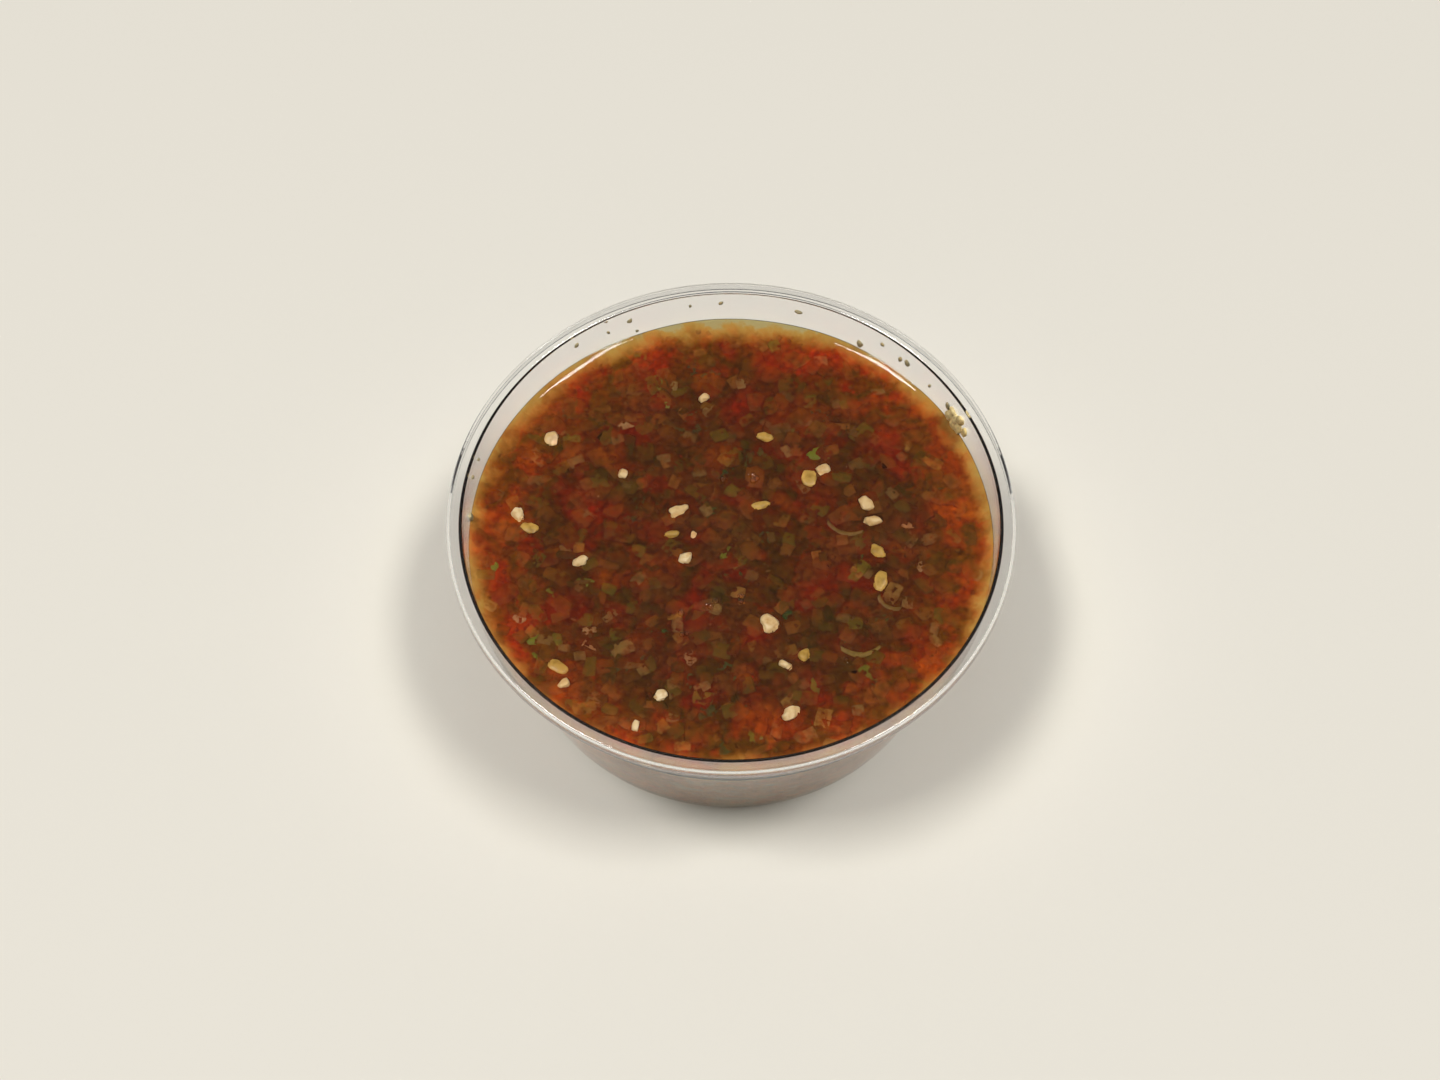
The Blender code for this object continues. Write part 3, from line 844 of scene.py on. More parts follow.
scatter, scatter_in, scatter_out = node_tree(
    "bits floating over a heap",
    {
        "Heap": "Geometry",
        "Spacing": "Float",
        "Crowding": "Float",
        "Size": "Vector",
        "Variety": "Float",
        "Roundness": "Float",
        "Sides": "Int",
        "Tilt": "Float",
        "Nearest": "Float",
        "Farthest": "Float",
        "Unevenness": "Float",
        "Grain": "Float",
        "Seed": "Int",
        "Finish": "Material",
    },
)
given = scatter_in.outputs
crowd_here = add_node(scatter, "GeometryNodeInputNamedAttribute", {"Name": "crowd"}, data_type="FLOAT")
spots = add_node(
    scatter,
    "GeometryNodeDistributePointsOnFaces",
    {
        "Mesh": given["Heap"],
        "Distance Min": given["Spacing"],
        "Density Max": given["Crowding"],
        "Density Factor": crowd_here,
        "Seed": given["Seed"],
    },
    distribute_method="POISSON",
)
room_here = add_node(scatter, "GeometryNodeInputNamedAttribute", {"Name": "room"}, data_type="FLOAT")
height_share = add_node(
    scatter,
    "FunctionNodeRandomValue",
    {2: given["Nearest"], 3: given["Farthest"], "Seed": given["Seed"]},
    data_type="FLOAT",
)
lift = calculated(scatter, "MULTIPLY", room_here, height_share.outputs[1])
lifted_by = add_node(
    scatter, "ShaderNodeVectorMath", {0: spots.outputs["Normal"], "Scale": lift}, operation="SCALE"
)
lifted = add_node(
    scatter, "GeometryNodeSetPosition", {"Geometry": spots.outputs["Points"], "Offset": lifted_by}
)
least_turn = calculated(scatter, "MULTIPLY", given["Tilt"], -1.0)
turn_from = add_node(scatter, "ShaderNodeCombineXYZ", {0: least_turn, 1: least_turn, 2: 0.0})
turn_to = add_node(scatter, "ShaderNodeCombineXYZ", {0: given["Tilt"], 1: given["Tilt"], 2: math.tau})
turn = add_node(
    scatter,
    "FunctionNodeRandomValue",
    {0: turn_from, 1: turn_to, "Seed": given["Seed"]},
    data_type="FLOAT_VECTOR",
)
turn_as = add_node(scatter, "FunctionNodeEulerToRotation", {0: turn})
facing = add_node(
    scatter,
    "FunctionNodeRotateRotation",
    {0: spots.outputs["Rotation"], 1: turn_as},
    rotation_space="LOCAL",
)
smallest = calculated(scatter, "SUBTRACT", 1.0, given["Variety"])
largest = calculated(scatter, "ADD", 1.0, given["Variety"])
grown = add_node(
    scatter, "FunctionNodeRandomValue", {0: smallest, 1: largest, "Seed": 5}, data_type="FLOAT_VECTOR"
)
size = add_node(scatter, "ShaderNodeVectorMath", {0: given["Size"], 1: grown}, operation="MULTIPLY")
sides = {"Vertices " + axis: given["Sides"] for axis in "XYZ"}
block = add_node(scatter, "GeometryNodeMeshCube", {"Size": (1.0, 1.0, 1.0), **sides})
block_point = add_node(scatter, "GeometryNodeInputPosition")
unit = add_node(scatter, "ShaderNodeVectorMath", {0: block_point}, operation="NORMALIZE")
ball = add_node(scatter, "ShaderNodeVectorMath", {0: unit, "Scale": 0.58}, operation="SCALE")
softened = add_node(
    scatter, "ShaderNodeMix", {0: given["Roundness"], 4: block_point, 5: ball}, data_type="VECTOR"
)
bit = add_node(
    scatter,
    "GeometryNodeSetPosition",
    {"Geometry": block.outputs["Mesh"], "Position": softened.outputs[1]},
)
copies = add_node(
    scatter,
    "GeometryNodeInstanceOnPoints",
    {"Points": lifted, "Instance": bit, "Rotation": facing, "Scale": size},
)
tone_value = add_node(
    scatter, "FunctionNodeRandomValue", {2: 0.0, 3: 1.0, "Seed": 11}, data_type="FLOAT"
)
toned = add_node(
    scatter,
    "GeometryNodeStoreNamedAttribute",
    {"Name": "tone", "Geometry": copies, "Value": tone_value.outputs[1]},
    data_type="FLOAT",
    domain="INSTANCE",
)
real = add_node(scatter, "GeometryNodeRealizeInstances", {0: toned})
real_point = add_node(scatter, "GeometryNodeInputPosition")
lumps = add_node(
    scatter, "ShaderNodeTexNoise", {"Detail": 1.0, "Vector": real_point, "Scale": given["Grain"]}
)
centred = add_node(
    scatter, "ShaderNodeVectorMath", {0: lumps.outputs["Color"], 1: (-0.5, -0.5, -0.5)}, operation="ADD"
)
lump_by = add_node(
    scatter, "ShaderNodeVectorMath", {0: centred, "Scale": given["Unevenness"]}, operation="SCALE"
)
lumpy = add_node(scatter, "GeometryNodeSetPosition", {"Geometry": real, "Offset": lump_by})
rounded_off = add_node(scatter, "GeometryNodeSetShadeSmooth", {0: lumpy})
coloured = add_node(
    scatter, "GeometryNodeSetMaterial", {"Geometry": rounded_off, "Material": given["Finish"]}
)
scatter.links.new(coloured.outputs[0], scatter_out.inputs[0])


def keep_in_juice(mesh):
    """Presses every point in between the juice's skin, the cup's wall and its base."""
    points = read_points(mesh)
    radius = np.hypot(points[:, 0], points[:, 1])
    most = outline_radius(inner_outline, points[:, 2]) - WALL_CLEARANCE
    shrink = np.minimum(1, most / np.maximum(radius, 1e-9))
    points[:, 0] *= shrink
    points[:, 1] *= shrink
    top = surface_height(points[:, 0], points[:, 1]) - SKIN_CLEARANCE
    bottom = RECESS_HEIGHT + SHEET + WALL_CLEARANCE
    points[:, 2] = np.clip(points[:, 2], bottom, top)
    write_points(mesh, points)


# Each kind: what it is made of, spacing and size in mm, roundness, tilt, the nearest and the
# farthest share of the room over the heap, colours, mottling, seed, sides and veil.
LOOSE_VEIL = (0.58, 0.95)
LOOSE = {
    "tomato_bits": dict(
        material="chopped tomato flesh",
        spacing=3.3,
        size=(2.9, 2.1, 1.1),
        roundness=0.55,
        tilt=0.5,
        share=(-0.3, 0.45),
        stops=((0.0, "551205"), (0.45, "5d2107"), (0.8, "68360c"), (1.0, "6d0f05")),
        mottle=("6e3b0f", 1.1 * MM),
        seed=1,
    ),
    "onion_bits": dict(
        material="chopped onion",
        spacing=3.3,
        size=(2.4, 1.6, 0.7),
        roundness=0.25,
        tilt=0.6,
        share=(-0.2, 0.72),
        stops=((0.0, "84521e"), (0.5, "6e3e16"), (0.85, "8c6224"), (1.0, "a88650")),
        mottle=("6a3c14", 0.8 * MM),
        seed=2,
    ),
    "pepper_bits": dict(
        material="chopped green pepper",
        spacing=3.7,
        size=(2.6, 1.7, 0.8),
        roundness=0.35,
        tilt=0.6,
        share=(-0.3, 0.62),
        stops=((0.0, "4a4612"), (0.5, "524612"), (0.85, "6a621e"), (1.0, "3a3a10")),
        mottle=("5a4816", 0.9 * MM),
        seed=3,
    ),
    "herb_bits": dict(
        material="chopped parsley leaf",
        spacing=3.7,
        size=(2.7, 1.6, 0.16),
        roundness=0.4,
        tilt=0.7,
        share=(0.1, 0.95),
        stops=((0.0, "212106"), (0.5, "2c2b09"), (1.0, "3b360c")),
        mottle=("262606", 0.6 * MM),
        seed=4,
    ),
    "garlic_bits": dict(
        material="chopped garlic, soaked",
        spacing=5.0,
        size=(1.7, 1.3, 0.9),
        roundness=0.35,
        tilt=0.5,
        share=(-0.2, 0.5),
        stops=((0.0, "77582c"), (1.0, "886d3e")),
        mottle=("6e4b24", 0.7 * MM),
        seed=5,
    ),
    "pulp_flecks": dict(
        material="tomato pulp",
        spacing=1.0,
        size=(0.75, 0.55, 0.4),
        roundness=0.5,
        tilt=0.8,
        share=(0.1, 0.85),
        stops=((0.0, "582106"), (0.4, "65340a"), (0.7, "491e06"), (1.0, "6e4d1a")),
        mottle=("491705", 0.5 * MM),
        seed=6,
        sides=2,
        veil=(0.7, 0.95),
    ),
}
for name, kind in LOOSE.items():
    # Soaked flesh, peel or leaf: dull, since the juice round it bends light nearly alike.
    finish = flesh(
        kind["material"],
        kind["stops"],
        kind["mottle"],
        (0.45, SOAKED_IOR),
        kind["seed"],
        veil=kind.get("veil", LOOSE_VEIL),
    )
    spacing = kind["spacing"] * MM
    loose = made_by(
        scatter,
        name,
        heap_mesh.copy(),
        {
            "Spacing": spacing,
            "Crowding": 2.5 / spacing**2,
            "Size": [part * MM for part in kind["size"]],
            "Variety": 0.35,
            "Roundness": kind["roundness"],
            "Sides": kind.get("sides", 3),
            "Tilt": kind["tilt"],
            "Nearest": kind["share"][0],
            "Farthest": kind["share"][1],
            "Unevenness": 0.5 * MM,
            "Grain": 1 / (1.1 * MM),
            "Seed": kind["seed"],
            "Finish": finish,
        },
    )
    keep_in_juice(loose.data)
    stands_for(loose, "salad")

# THE PIECES AT THE SURFACE
# The same vegetables where they show whole at the surface. Garlic chips and seeds stand out
# of the juice, nearly dry; the others lie awash, cut by a knife into uneven blocks.
SHAPE_SEED = 41
BALL_DETAIL = 3
CUTS = 5


def round_ball(radius):
    """A ball's points and faces."""
    bm = bmesh.new()
    bmesh.ops.create_icosphere(bm, subdivisions=BALL_DETAIL, radius=radius)
    faces = [tuple(vert.index for vert in face.verts) for face in bm.faces]
    points = np.array([vert.co for vert in bm.verts])
    bm.free()
    return points, faces


def chopped(rng, length, width, height, roundness):
    """A block with its corners rounded off and a few flat knife cuts, as points and faces."""
    points, faces = round_ball(0.5)
    blocky = points * (0.5 / np.abs(points).max(axis=1))[:, None]
    points = blocky + (points - blocky) * (0.35 + 0.65 * roundness)
    for _ in range(CUTS):
        direction = Vector((rng.uniform(-1, 1), rng.uniform(-1, 1), rng.uniform(-0.5, 0.5)))
        direction = np.array(direction.normalized())
        reach = rng.uniform(0.36, 0.5)
        beyond = np.maximum(points @ direction - reach, 0)
        points -= beyond[:, None] * direction
    start = Vector((rng.uniform(-50, 50), rng.uniform(-50, 50), rng.uniform(-50, 50)))
    for row in points:
        row *= 1 + 0.22 * noise.noise(start + Vector(row) * 3.2)
    points /= np.abs(points).max(axis=0) * 2
    return points * (length, width, height), faces


def tilted(points, rng, turn, most):
    """The points tipped a little and turned in the surface."""
    matrix = Euler((rng.uniform(-most, most), rng.uniform(-most, most), turn)).to_matrix()
    return points @ np.array(matrix).T


def joined(name, shapes, material, sharp):
    """One object from (points, faces, tone, mark) shapes, its place in its mesh."""
    points, faces, tones, marks = [], [], [], []
    for shape_points, shape_faces, tone, mark in shapes:
        first = sum(len(part) for part in points)
        points.append(shape_points)
        faces += [tuple(first + i for i in face) for face in shape_faces]
        tones.append(np.full(len(shape_points), tone))
        marks.append(np.broadcast_to(mark, len(shape_points)))
    mesh = bpy.data.meshes.new(name)
    mesh.from_pydata(np.concatenate(points).tolist(), [], faces)
    set_attribute(mesh, "tone", np.concatenate(tones))
    set_attribute(mesh, "mark", np.concatenate(marks))
    mesh.materials.append(material)
    mesh.shade_smooth()
    closed_outwards(mesh)
    mesh.set_sharp_from_angle(angle=sharp)
    return shown(name, mesh)


def floating_block(rng, row, proud, height, roundness, tilt=0.16):
    """A chopped block at its row's place, its top this far out of the juice, and its skin."""
    x, y, length, width, turn = row
    points, faces = chopped(rng, length, width, height, roundness)
    skin = np.clip((points[:, 2] / height - 0.15) * 4, 0, 1)
    points = tilted(points, rng, turn, tilt)
    points += (x, y, LEVEL + proud - points[:, 2].max())
    return points, faces, rng.random(), skin


# The kinds of block: height, roundness and the share of the smaller bits.
BLOCKS = {
    "tomato": (1.5 * MM, 0.5, 0.34),
    "onion": (0.9 * MM, 0.2, 0.33),
    "pepper": (1.1 * MM, 0.25, 0.30),
    "garlic": (1.3 * MM, 0.35, 0.03),
    "seed": (0.9 * MM, 0.9, 0.0),
}
BLOCK_FINISH = {
    # Tomato: deep red smooth skin on watery flesh, mottled where seeds pull out.
    "tomato": flesh(
        "tomato skin and flesh",
        ((0.0, "691104"), (0.5, "751806"), (1.0, "7e350c")),
        mottle=("7e4316", 1.2 * MM),
        gloss=(0.3, 1.12),
        seed=21,
        skin="8a1006",
        veil=(0.05, 0.65),
    ),
    # Red onion, soaked: pale pinkish and half clear, with a faint grain.
    "onion": flesh(
        "soaked red onion",
        ((0.0, "8f6539"), (0.5, "835235"), (1.0, "a08254")),
        mottle=("724222", 0.7 * MM),
        gloss=(0.35, 1.12),
        seed=22,
        veil=(0.1, 0.7),
    ),
    # Green chilli pepper: yellow-green skin on a paler wall.
    "pepper": flesh(
        "green pepper skin and wall",
        ((0.0, "534f11"), (0.5, "5e5113"), (1.0, "70611e")),
        mottle=("6e5a23", 1.0 * MM),
        gloss=(0.3, 1.15),
        seed=23,
        skin="565a18",
        veil=(0.05, 0.6),
    ),
    # Raw garlic: cream, close and slightly waxy where the knife left it flat.
    "garlic": flesh(
        "raw garlic",
        ((0.0, "caa468"), (0.5, "d6b884"), (1.0, "dec89c")),
        mottle=("c0965c", 0.9 * MM),
        gloss=(0.35, 1.4),
        seed=24,
        bump=0.15,
        dry=0.6,
        veil=(0.0, 0.25),
    ),
    # Dried chilli seed: flat, leathery and yellow with a darker rim.
    "seed": flesh(
        "chilli seed",
        ((0.0, "b48c3c"), (0.5, "c09a4a"), (1.0, "a8843a")),
        mottle=("96722c", 0.9 * MM),
        gloss=(0.35, 1.4),
        seed=25,
        bump=0.15,
        dry=0.6,
        veil=(0.05, 0.65),
    ),
}
rng = random.Random(SHAPE_SEED)
shapes = {kind: [] for kind in BLOCKS}
leaf_rows = list(KIND_ROWS["leaf"])
for kind, (height, roundness, _) in BLOCKS.items():
    for row in KIND_ROWS[kind]:
        shapes[kind].append(floating_block(rng, row, PROUD[kind][0], height, roundness))
for row, proud, roundness, leafy in BITS:
    if leafy:
        leaf_rows.append(row)
        continue
    draw = rng.random()
    for kind, (height, _, share) in BLOCKS.items():
        draw -= share
        if draw < 0:
            break
    up = PROUD["bit"][0] * proud / BIT_PROUD[1]
    shapes[kind].append(floating_block(rng, row, up, 0.8 * height, roundness, 0.3))
for kind in BLOCKS:
    piece = joined(kind + "_pieces", shapes[kind], BLOCK_FINISH[kind], math.radians(38))
    stands_for(piece, "salad")

# THE LEAF SCRAPS AND STEMS
# Parsley cut small: thin wavy scraps with toothed edges and pale veins, lying in the skin
# of the juice, and short lengths of bent stem between them.
LEAF_THICKNESS = 0.14 * MM
LEAF_WAVE = 0.30 * MM
LEAF_STEPS = (26, 10)
STEM_SIDES = 8
STEM_STEPS = 12
STEM_BEND = 0.22


def leaf_shape(rng, row):
    """A leaf scrap with two faces and a closed rim; its mark is 1 along the veins."""
    x, y, length, width, turn = row
    along_count, across_count = LEAF_STEPS
    phase = rng.uniform(0, 90)
    lean = rng.uniform(-0.2, 0.2)
    curl = rng.uniform(-0.10, 0.14) * MM
    upper, veins = [], []
    for i in range(along_count + 1):
        u = i / along_count - 0.5
        for j in range(across_count + 1):
            v = j / across_count - 0.5
            side = math.copysign(1.0, v)
            torn = noise.noise(Vector((u * 5.0 + phase, side * 3.0, 0.0)))
            torn += 0.6 * noise.noise(Vector((u * 13.0 + phase, side * 3.0, 7.0)))
            half = (0.42 + 0.58 * math.cos(math.pi * u) ** 0.7) * (1 + 0.55 * torn)
            end = 1 + 0.35 * noise.noise(Vector((v * 4.0 + phase, math.copysign(5.0, u), 3.0)))
            crumple = noise.noise(Vector((u * 3.2 + phase, v * 2.4, 1.0)))
            crumple += 0.5 * noise.noise(Vector((u * 7.0 + phase, v * 5.0, 2.0)))
            rise = LEAF_WAVE * crumple + curl * (2 * v) ** 2
            upper.append((u * end * length, (v * half + lean * u) * width, rise))
            midrib = max(0, 1 - abs(v) * 9)
            branch = max(0, 1 - abs((u * 6 + abs(v) * 3) % 1 - 0.5) * 7)
            veins.append(max(midrib, 0.6 * branch))
    upper = np.array(upper)
    count = len(upper)
    lower = upper - (0, 0, LEAF_THICKNESS)
    faces = []
    stride = across_count + 1
    for i in range(along_count):
        for j in range(across_count):
            a = i * stride + j
            faces.append((a, a + stride, a + stride + 1, a + 1))
            faces.append((count + a, count + a + 1, count + a + stride + 1, count + a + stride))
    rim = [i * stride for i in range(along_count + 1)]
    rim += [along_count * stride + j for j in range(1, across_count + 1)]
    rim += [i * stride + across_count for i in range(along_count - 1, -1, -1)]
    rim += [j for j in range(across_count - 1, 0, -1)]
    for a, b in zip(rim, rim[1:] + rim[:1]):
        faces.append((a, b, count + b, count + a))
    points = tilted(np.concatenate([upper, lower]), rng, turn, 0.08)
    points += (x, y, LEVEL + PROUD["leaf"][0] - points[:count, 2].max())
    return points, faces, rng.random(), np.array(veins + veins)


def stem_shape(rng, row):
    """A bent length of stem with its ends cut across."""
    x, y, length, width, turn = row
    points, faces = [], []
    for i in range(STEM_STEPS + 1):
        share = i / STEM_STEPS
        along = (share - 0.5) * length
        bend = STEM_BEND * length * (4 * (share - 0.5) ** 2 - 0.5)
        thick = 0.5 * width * (1 + 0.12 * noise.noise(Vector((share * 4, x * 900, 0))))
        for side in range(STEM_SIDES):
            angle = math.tau * side / STEM_SIDES
            points.append((along, bend + thick * math.cos(angle), thick * math.sin(angle)))
    for i in range(STEM_STEPS):
        for side in range(STEM_SIDES):
            after = (side + 1) % STEM_SIDES
            a, b = i * STEM_SIDES + side, i * STEM_SIDES + after
            faces.append((a, b, b + STEM_SIDES, a + STEM_SIDES))
    faces.append(tuple(range(STEM_SIDES)))
    last = STEM_STEPS * STEM_SIDES
    faces.append(tuple(range(last + STEM_SIDES - 1, last - 1, -1)))
    points = tilted(np.array(points), rng, turn, 0.05)
    points += (x, y, LEVEL + PROUD["stem"][0] - points[:, 2].max())
    return points, faces, rng.random(), 0.0


# Parsley leaf, soaked: dark green, thin, matt, with paler veins.
leaf_finish = flesh(
    "soaked parsley leaf",
    ((0.0, "1c3014"), (0.5, "2a3a16"), (1.0, "3e4418")),
    mottle=("22320e", 0.9 * MM),
    gloss=(0.45, 1.15),
    seed=26,
    skin="364214",
    veil=(0.0, 0.5),
)
leaf_shapes = [leaf_shape(rng, row) for row in leaf_rows]
leaves = joined("leaf_scraps", leaf_shapes, leaf_finish, math.radians(60))
stands_for(leaves, "salad")

# Parsley stem: pale green, ribbed along its length.
stem_finish = flesh(
    "parsley stem",
    ((0.0, "7a6428"), (1.0, "8a7034")),
    mottle=("66561e", 0.6 * MM),
    gloss=(0.4, 1.2),
    seed=27,
)
stem_shapes = [stem_shape(rng, row) for row in KIND_ROWS["stem"]]
stems = joined("stems", stem_shapes, stem_finish, math.radians(50))
stands_for(stems, "salad")

# THE JUICE
# One body of thin red-brown juice that wets the cup all round. Its skin reaches just into
# the wall, so that no air shows between them. It takes out blue first, then green.
JUICE_TURNS = 300
JUICE_RINGS = 125
INTO_WALL = 0.05 * MM
JUICE_IOR = 1.34
# How much red, green and blue the juice takes out of the light in a metre.
JUICE_ABSORBS = (74.0, 232.0, 477.0)
ABSORB_DENSITY = 500.0

juice_wall = moved_inward(sheet_outline, SHEET - INTO_WALL)
edge_radius = float(outline_radius(juice_wall, LEVEL + WETTING_RISE))
shares = np.linspace(0, 1, JUICE_RINGS + 1)[1:]
# Rings crowd towards the wall, where the skin of the juice turns up.
radii = edge_radius * (1 - (1 - shares) ** 1.25)
juice_rings = [[(0.0, 0.0, float(surface_height(np.zeros(1), np.zeros(1))[0]))]]
juice_angles = np.linspace(0, math.tau, JUICE_TURNS, endpoint=False)
for radius in radii:
    x, y = radius * np.cos(juice_angles), radius * np.sin(juice_angles)
    juice_rings.append(np.stack([x, y, surface_height(x, y)], axis=1))
below = [point for point in juice_wall if point.y < LEVEL - 0.3 * MM]
juice_side = [(0, 0), *[(point.x, point.y) for point in below[:-1]], (0, 0)]
juice_rings += round_rings(juice_side, JUICE_TURNS)[1:-1]
juice_rings.append([(0.0, 0.0, below[-1].y)])
juice_mesh = ring_mesh("juice", juice_rings)

# Strained juice: clear, glossy as water and faintly rippled.
juice_finish, juice_tree, juice_shader = clear_material(
    "tomato and lemon juice", "ffffff", JUICE_IOR, 0.03, "ffffff"
)
uneven_surface(juice_tree, juice_shader, 1.3 * MM, 2.0, 0.3, 0.06 * MM)
juice_colour = (*[1 - part / ABSORB_DENSITY for part in JUICE_ABSORBS], 1.0)
juice_body = add_node(
    juice_tree, "ShaderNodeVolumeAbsorption", {"Color": juice_colour, "Density": ABSORB_DENSITY}
)
juice_tree.links.new(juice_body.outputs[0], juice_tree.nodes["Material Output"].inputs["Volume"])
juice_mesh.materials.append(juice_finish)
juice = shown("juice", juice_mesh)
stands_for(juice, "salad")

# BUBBLES AND SPLASHES
# A few small bubbles stand in groups on the juice. Specks and one smear of the salad dried
# on the clear wall above it, where the cup was filled.
# Each group of bubbles: middle x and y in mm, and how many.
BUBBLES = (
    (3.1, 9.8, 5),
    (-1.0, 9.1, 2),
    (1.2, -9.3, 3),
    (-2.7, -9.3, 4),
    (-6.5, -10.8, 3),
    (-6.5, -14.2, 2),
    (14.8, -17.9, 1),
    (15.7, -11.7, 1),
)
BUBBLE_RADIUS = (0.2, 0.45)
BUBBLE_SPREAD = 0.9
BUBBLE_WALL = 0.08 * MM
BUBBLE_FLOATS = 0.35
# Each speck: azimuth in degrees, height, length and width in mm. Thin ones are olive.
SPECKS = (
    (126.8, 28.1, 0.9, 0.5),
    (118.3, 28.4, 0.8, 0.5),
    (118.6, 27.3, 0.6, 0.4),
    (113.2, 27.9, 0.9, 0.6),
    (111.7, 25.4, 0.5, 0.4),
    (99.1, 28.0, 0.5, 0.4),
    (92.2, 28.1, 0.8, 0.5),
    (74.6, 27.8, 1.2, 0.6),
    (59.4, 25.7, 1.3, 1.0),
    (53.8, 28.0, 0.7, 0.5),
    (48.7, 27.4, 1.0, 0.6),
    (46.7, 27.6, 1.1, 0.7),
    (39.5, 27.0, 0.7, 0.4),
    (168.3, 28.0, 0.7, 0.5),
    (163.6, 28.0, 0.6, 0.5),
    (175.4, 25.0, 1.5, 1.0),
    (31.9, 25.8, 2.2, 1.5),
    (29.7, 25.3, 2.3, 1.7),
    (30.8, 27.1, 1.8, 1.3),
    (28.1, 25.7, 2.4, 1.7),
    (28.1, 27.2, 2.2, 1.5),
    (25.7, 26.4, 1.8, 1.2),
    (29.5, 26.5, 2.2, 1.6),
    (32.9, 27.0, 1.2, 0.8),
)
THICK_SPECK = 1.55 * MM


def speck_shape(rng, azimuth, height, length, width):
    """A flattened scrap stuck on the sloping wall."""
    points, faces = chopped(rng, length, width, 0.3 * MM + 0.4 * width, 0.8)
    spin = rng.uniform(0, math.pi)
    flat = np.array(Euler((0, 0, spin)).to_matrix())
    points = points @ flat.T
    radius = float(outline_radius(inner_outline, height))
    slope = math.atan2(MOUTH_RADIUS - LEDGE_TOP[0], RIM_HEIGHT - LEDGE_TOP[1])
    angle = math.radians(azimuth)
    outwards = Vector((math.cos(angle), math.sin(angle), 0))
    upwards = (Vector((0, 0, 1)) * math.cos(slope) + outwards * math.sin(slope)).normalized()
    sideways = upwards.cross(outwards).normalized()
    inwards = sideways.cross(upwards).normalized()
    if inwards.dot(outwards) > 0:
        inwards = -inwards
    base = np.array(outwards * radius + Vector((0, 0, height)))
    frame_of = np.array([sideways, upwards, inwards])
    draw = rng.random()
    tone = 0.4 + 0.6 * draw if length > THICK_SPECK else 0.4 * draw
    return points @ frame_of + base + 0.08 * MM * np.array(inwards), faces, tone, 0.0


# Dried salad: dull olive where it is thin, tan where it is thick, matt. The thick specks' own tan is
# painted paler, as painted light for the lit tops of the lumps.
speck_finish = flesh(
    "dried salad",
    ((0.0, "7c7458"), (0.4, "948a68"), (0.6, "dcc07c"), (1.0, "ead294")),
    mottle=("b49c6c", 0.5 * MM),
    gloss=(0.55, 1.4),
    seed=28,
    dry=1.0,
)
speck_shapes = [
    speck_shape(rng, azimuth, height * MM, length * MM, width * MM)
    for azimuth, height, length, width in SPECKS
]
specks = joined("wall_specks", speck_shapes, speck_finish, math.radians(60))
stands_for(specks, "salad")

ball_points, ball_faces = round_ball(1.0)
bubble_points, bubble_faces = [], []
for middle_x, middle_y, count in BUBBLES:
    for _ in range(count):
        radius = rng.uniform(*BUBBLE_RADIUS) * MM
        away = rng.uniform(0.0, BUBBLE_SPREAD) * MM * (count > 1)
        angle = rng.uniform(0, math.tau)
        x = middle_x * MM + away * math.cos(angle)
        y = middle_y * MM + away * math.sin(angle)
        z = float(surface_height(np.array([x]), np.array([y]))[0])
        for size_now, inside_out in ((radius, False), (radius - BUBBLE_WALL, True)):
            first = sum(len(part) for part in bubble_points)
            bubble_points.append(ball_points * size_now + (x, y, z + BUBBLE_FLOATS * radius))
            for face in ball_faces:
                order = face[::-1] if inside_out else face
                bubble_faces.append(tuple(first + i for i in order))
bubble_mesh = bpy.data.meshes.new("bubbles")
bubble_mesh.from_pydata(np.concatenate(bubble_points).tolist(), [], bubble_faces)
bubble_mesh.shade_smooth()
# A bubble's skin: a thin film of the same juice.
bubble_finish, _, _ = clear_material("skin of juice", "fff4e6", JUICE_IOR, 0.02, "ffffff")
bubble_mesh.materials.append(bubble_finish)
bubbles = shown("bubbles", bubble_mesh)
stands_for(bubbles, "salad")

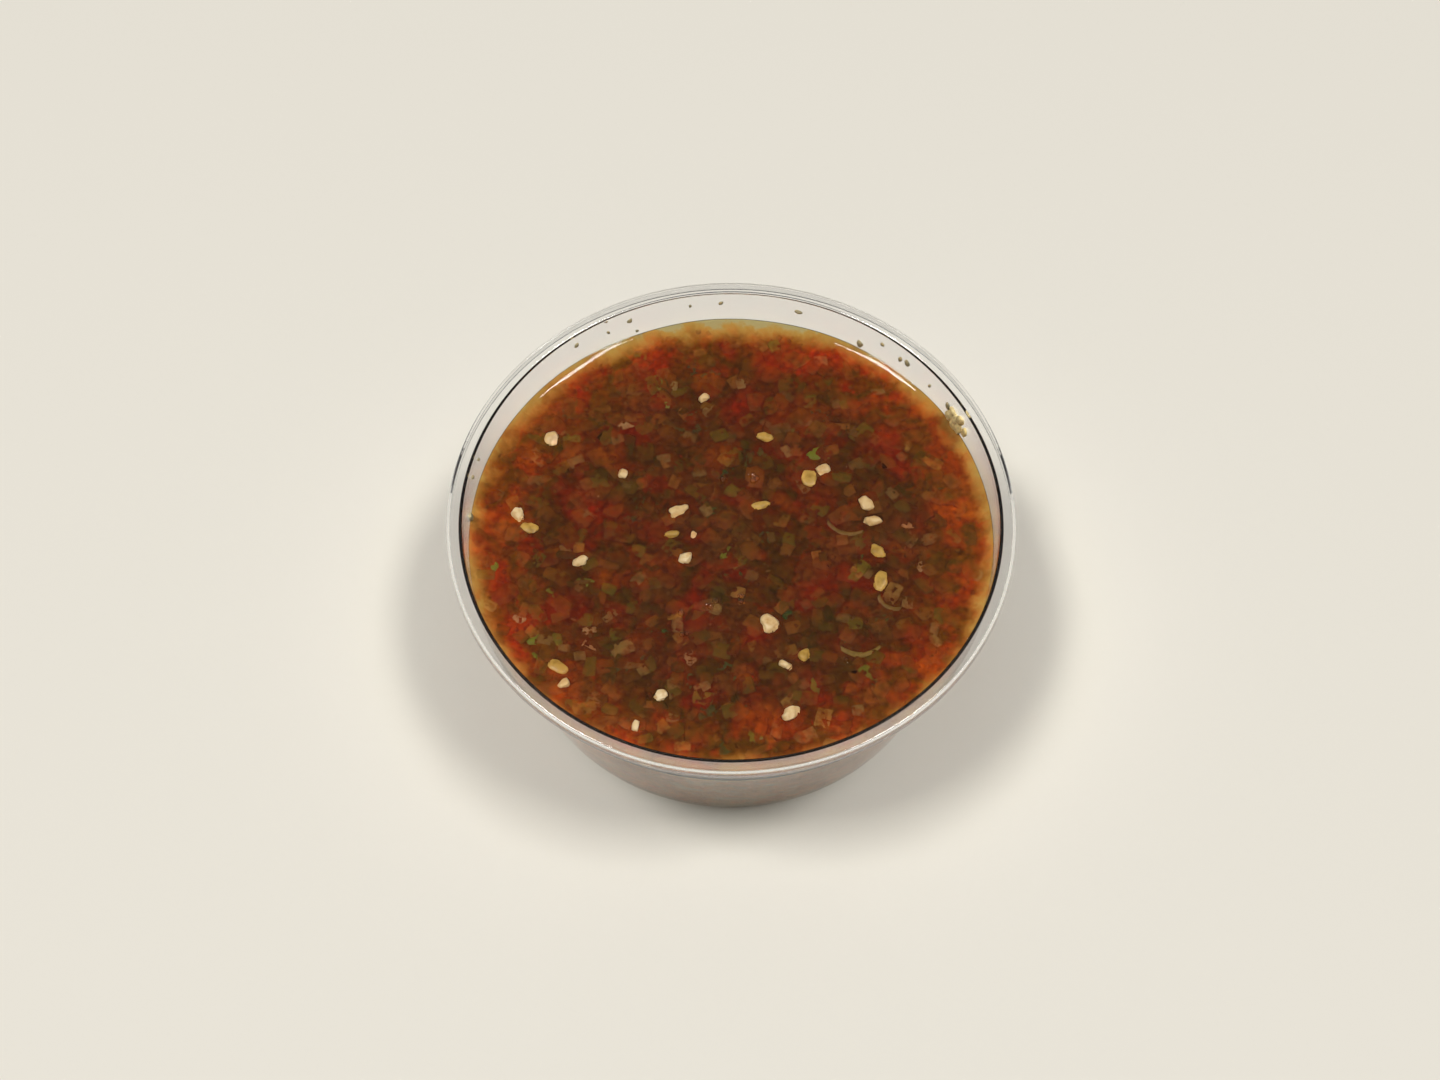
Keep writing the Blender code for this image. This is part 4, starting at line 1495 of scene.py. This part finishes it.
# THE TABLE, THE LIGHT AND THE CAMERA
# A plain pale table top, two soft lights over it to the right and the left, and the camera at
# the photograph's angle.
TABLE_HALF = 1.6
LIGHT_SIZE = (0.45, 0.25)
# The camera looks at a point in the plane of the rim.
CAMERA_RISE = math.radians(59.897)
CAMERA_AWAY = 0.39414
CAMERA_AIM = (-0.00144, -0.00366)

table_mesh = bpy.data.meshes.new("table")
table_corners = [(-1, -1), (1, -1), (1, 1), (-1, 1)]
table_mesh.from_pydata(
    [(x * TABLE_HALF, y * TABLE_HALF, 0) for x, y in table_corners], [], [(0, 1, 2, 3)]
)
# Laminate: warm white and matt, with hardly any gloss.
table_finish, _, table_shader = solid_material("matt laminate", 0.6, 1.5)
table_shader.inputs["Base Color"].default_value = linear("e2ddd1")
table_shader.inputs["Specular IOR Level"].default_value = 0.2
table_mesh.materials.append(table_finish)
table = shown("table", table_mesh)


def soft_light(name, place, power):
    """A rectangular light that faces the cup."""
    lamp = bpy.data.lights.new(name, "AREA")
    lamp.shape = "RECTANGLE"
    lamp.size, lamp.size_y = LIGHT_SIZE
    lamp.energy = power
    holder = shown(name, lamp)
    holder.location = place
    facing = Vector((0, 0, 0.02)) - Vector(place)
    holder.rotation_euler = facing.to_track_quat("-Z", "Y").to_euler()


soft_light("right_light", (0.60, -0.13, 1.30), 9.1)
soft_light("left_light", (-0.60, -0.13, 1.30), 10.6)

world = bpy.data.worlds.new("soft surroundings")
bpy.context.scene.world = world
world.use_nodes = True
world.node_tree.nodes["Background"].inputs["Color"].default_value = linear("ffffff")
world.node_tree.nodes["Background"].inputs["Strength"].default_value = 0.2
bpy.context.scene.view_settings.view_transform = "Standard"

camera_data = bpy.data.cameras.new("camera")
camera_data.sensor_width = 36.0
camera_data.lens = 76.25
camera_data.clip_start = 0.01
camera = shown("camera", camera_data)
camera.location = (
    CAMERA_AIM[0],
    CAMERA_AIM[1] - CAMERA_AWAY * math.cos(CAMERA_RISE),
    RIM_HEIGHT + CAMERA_AWAY * math.sin(CAMERA_RISE),
)
camera.rotation_euler = (math.pi / 2 - CAMERA_RISE, 0.0, 0.0)
bpy.context.scene.camera = camera
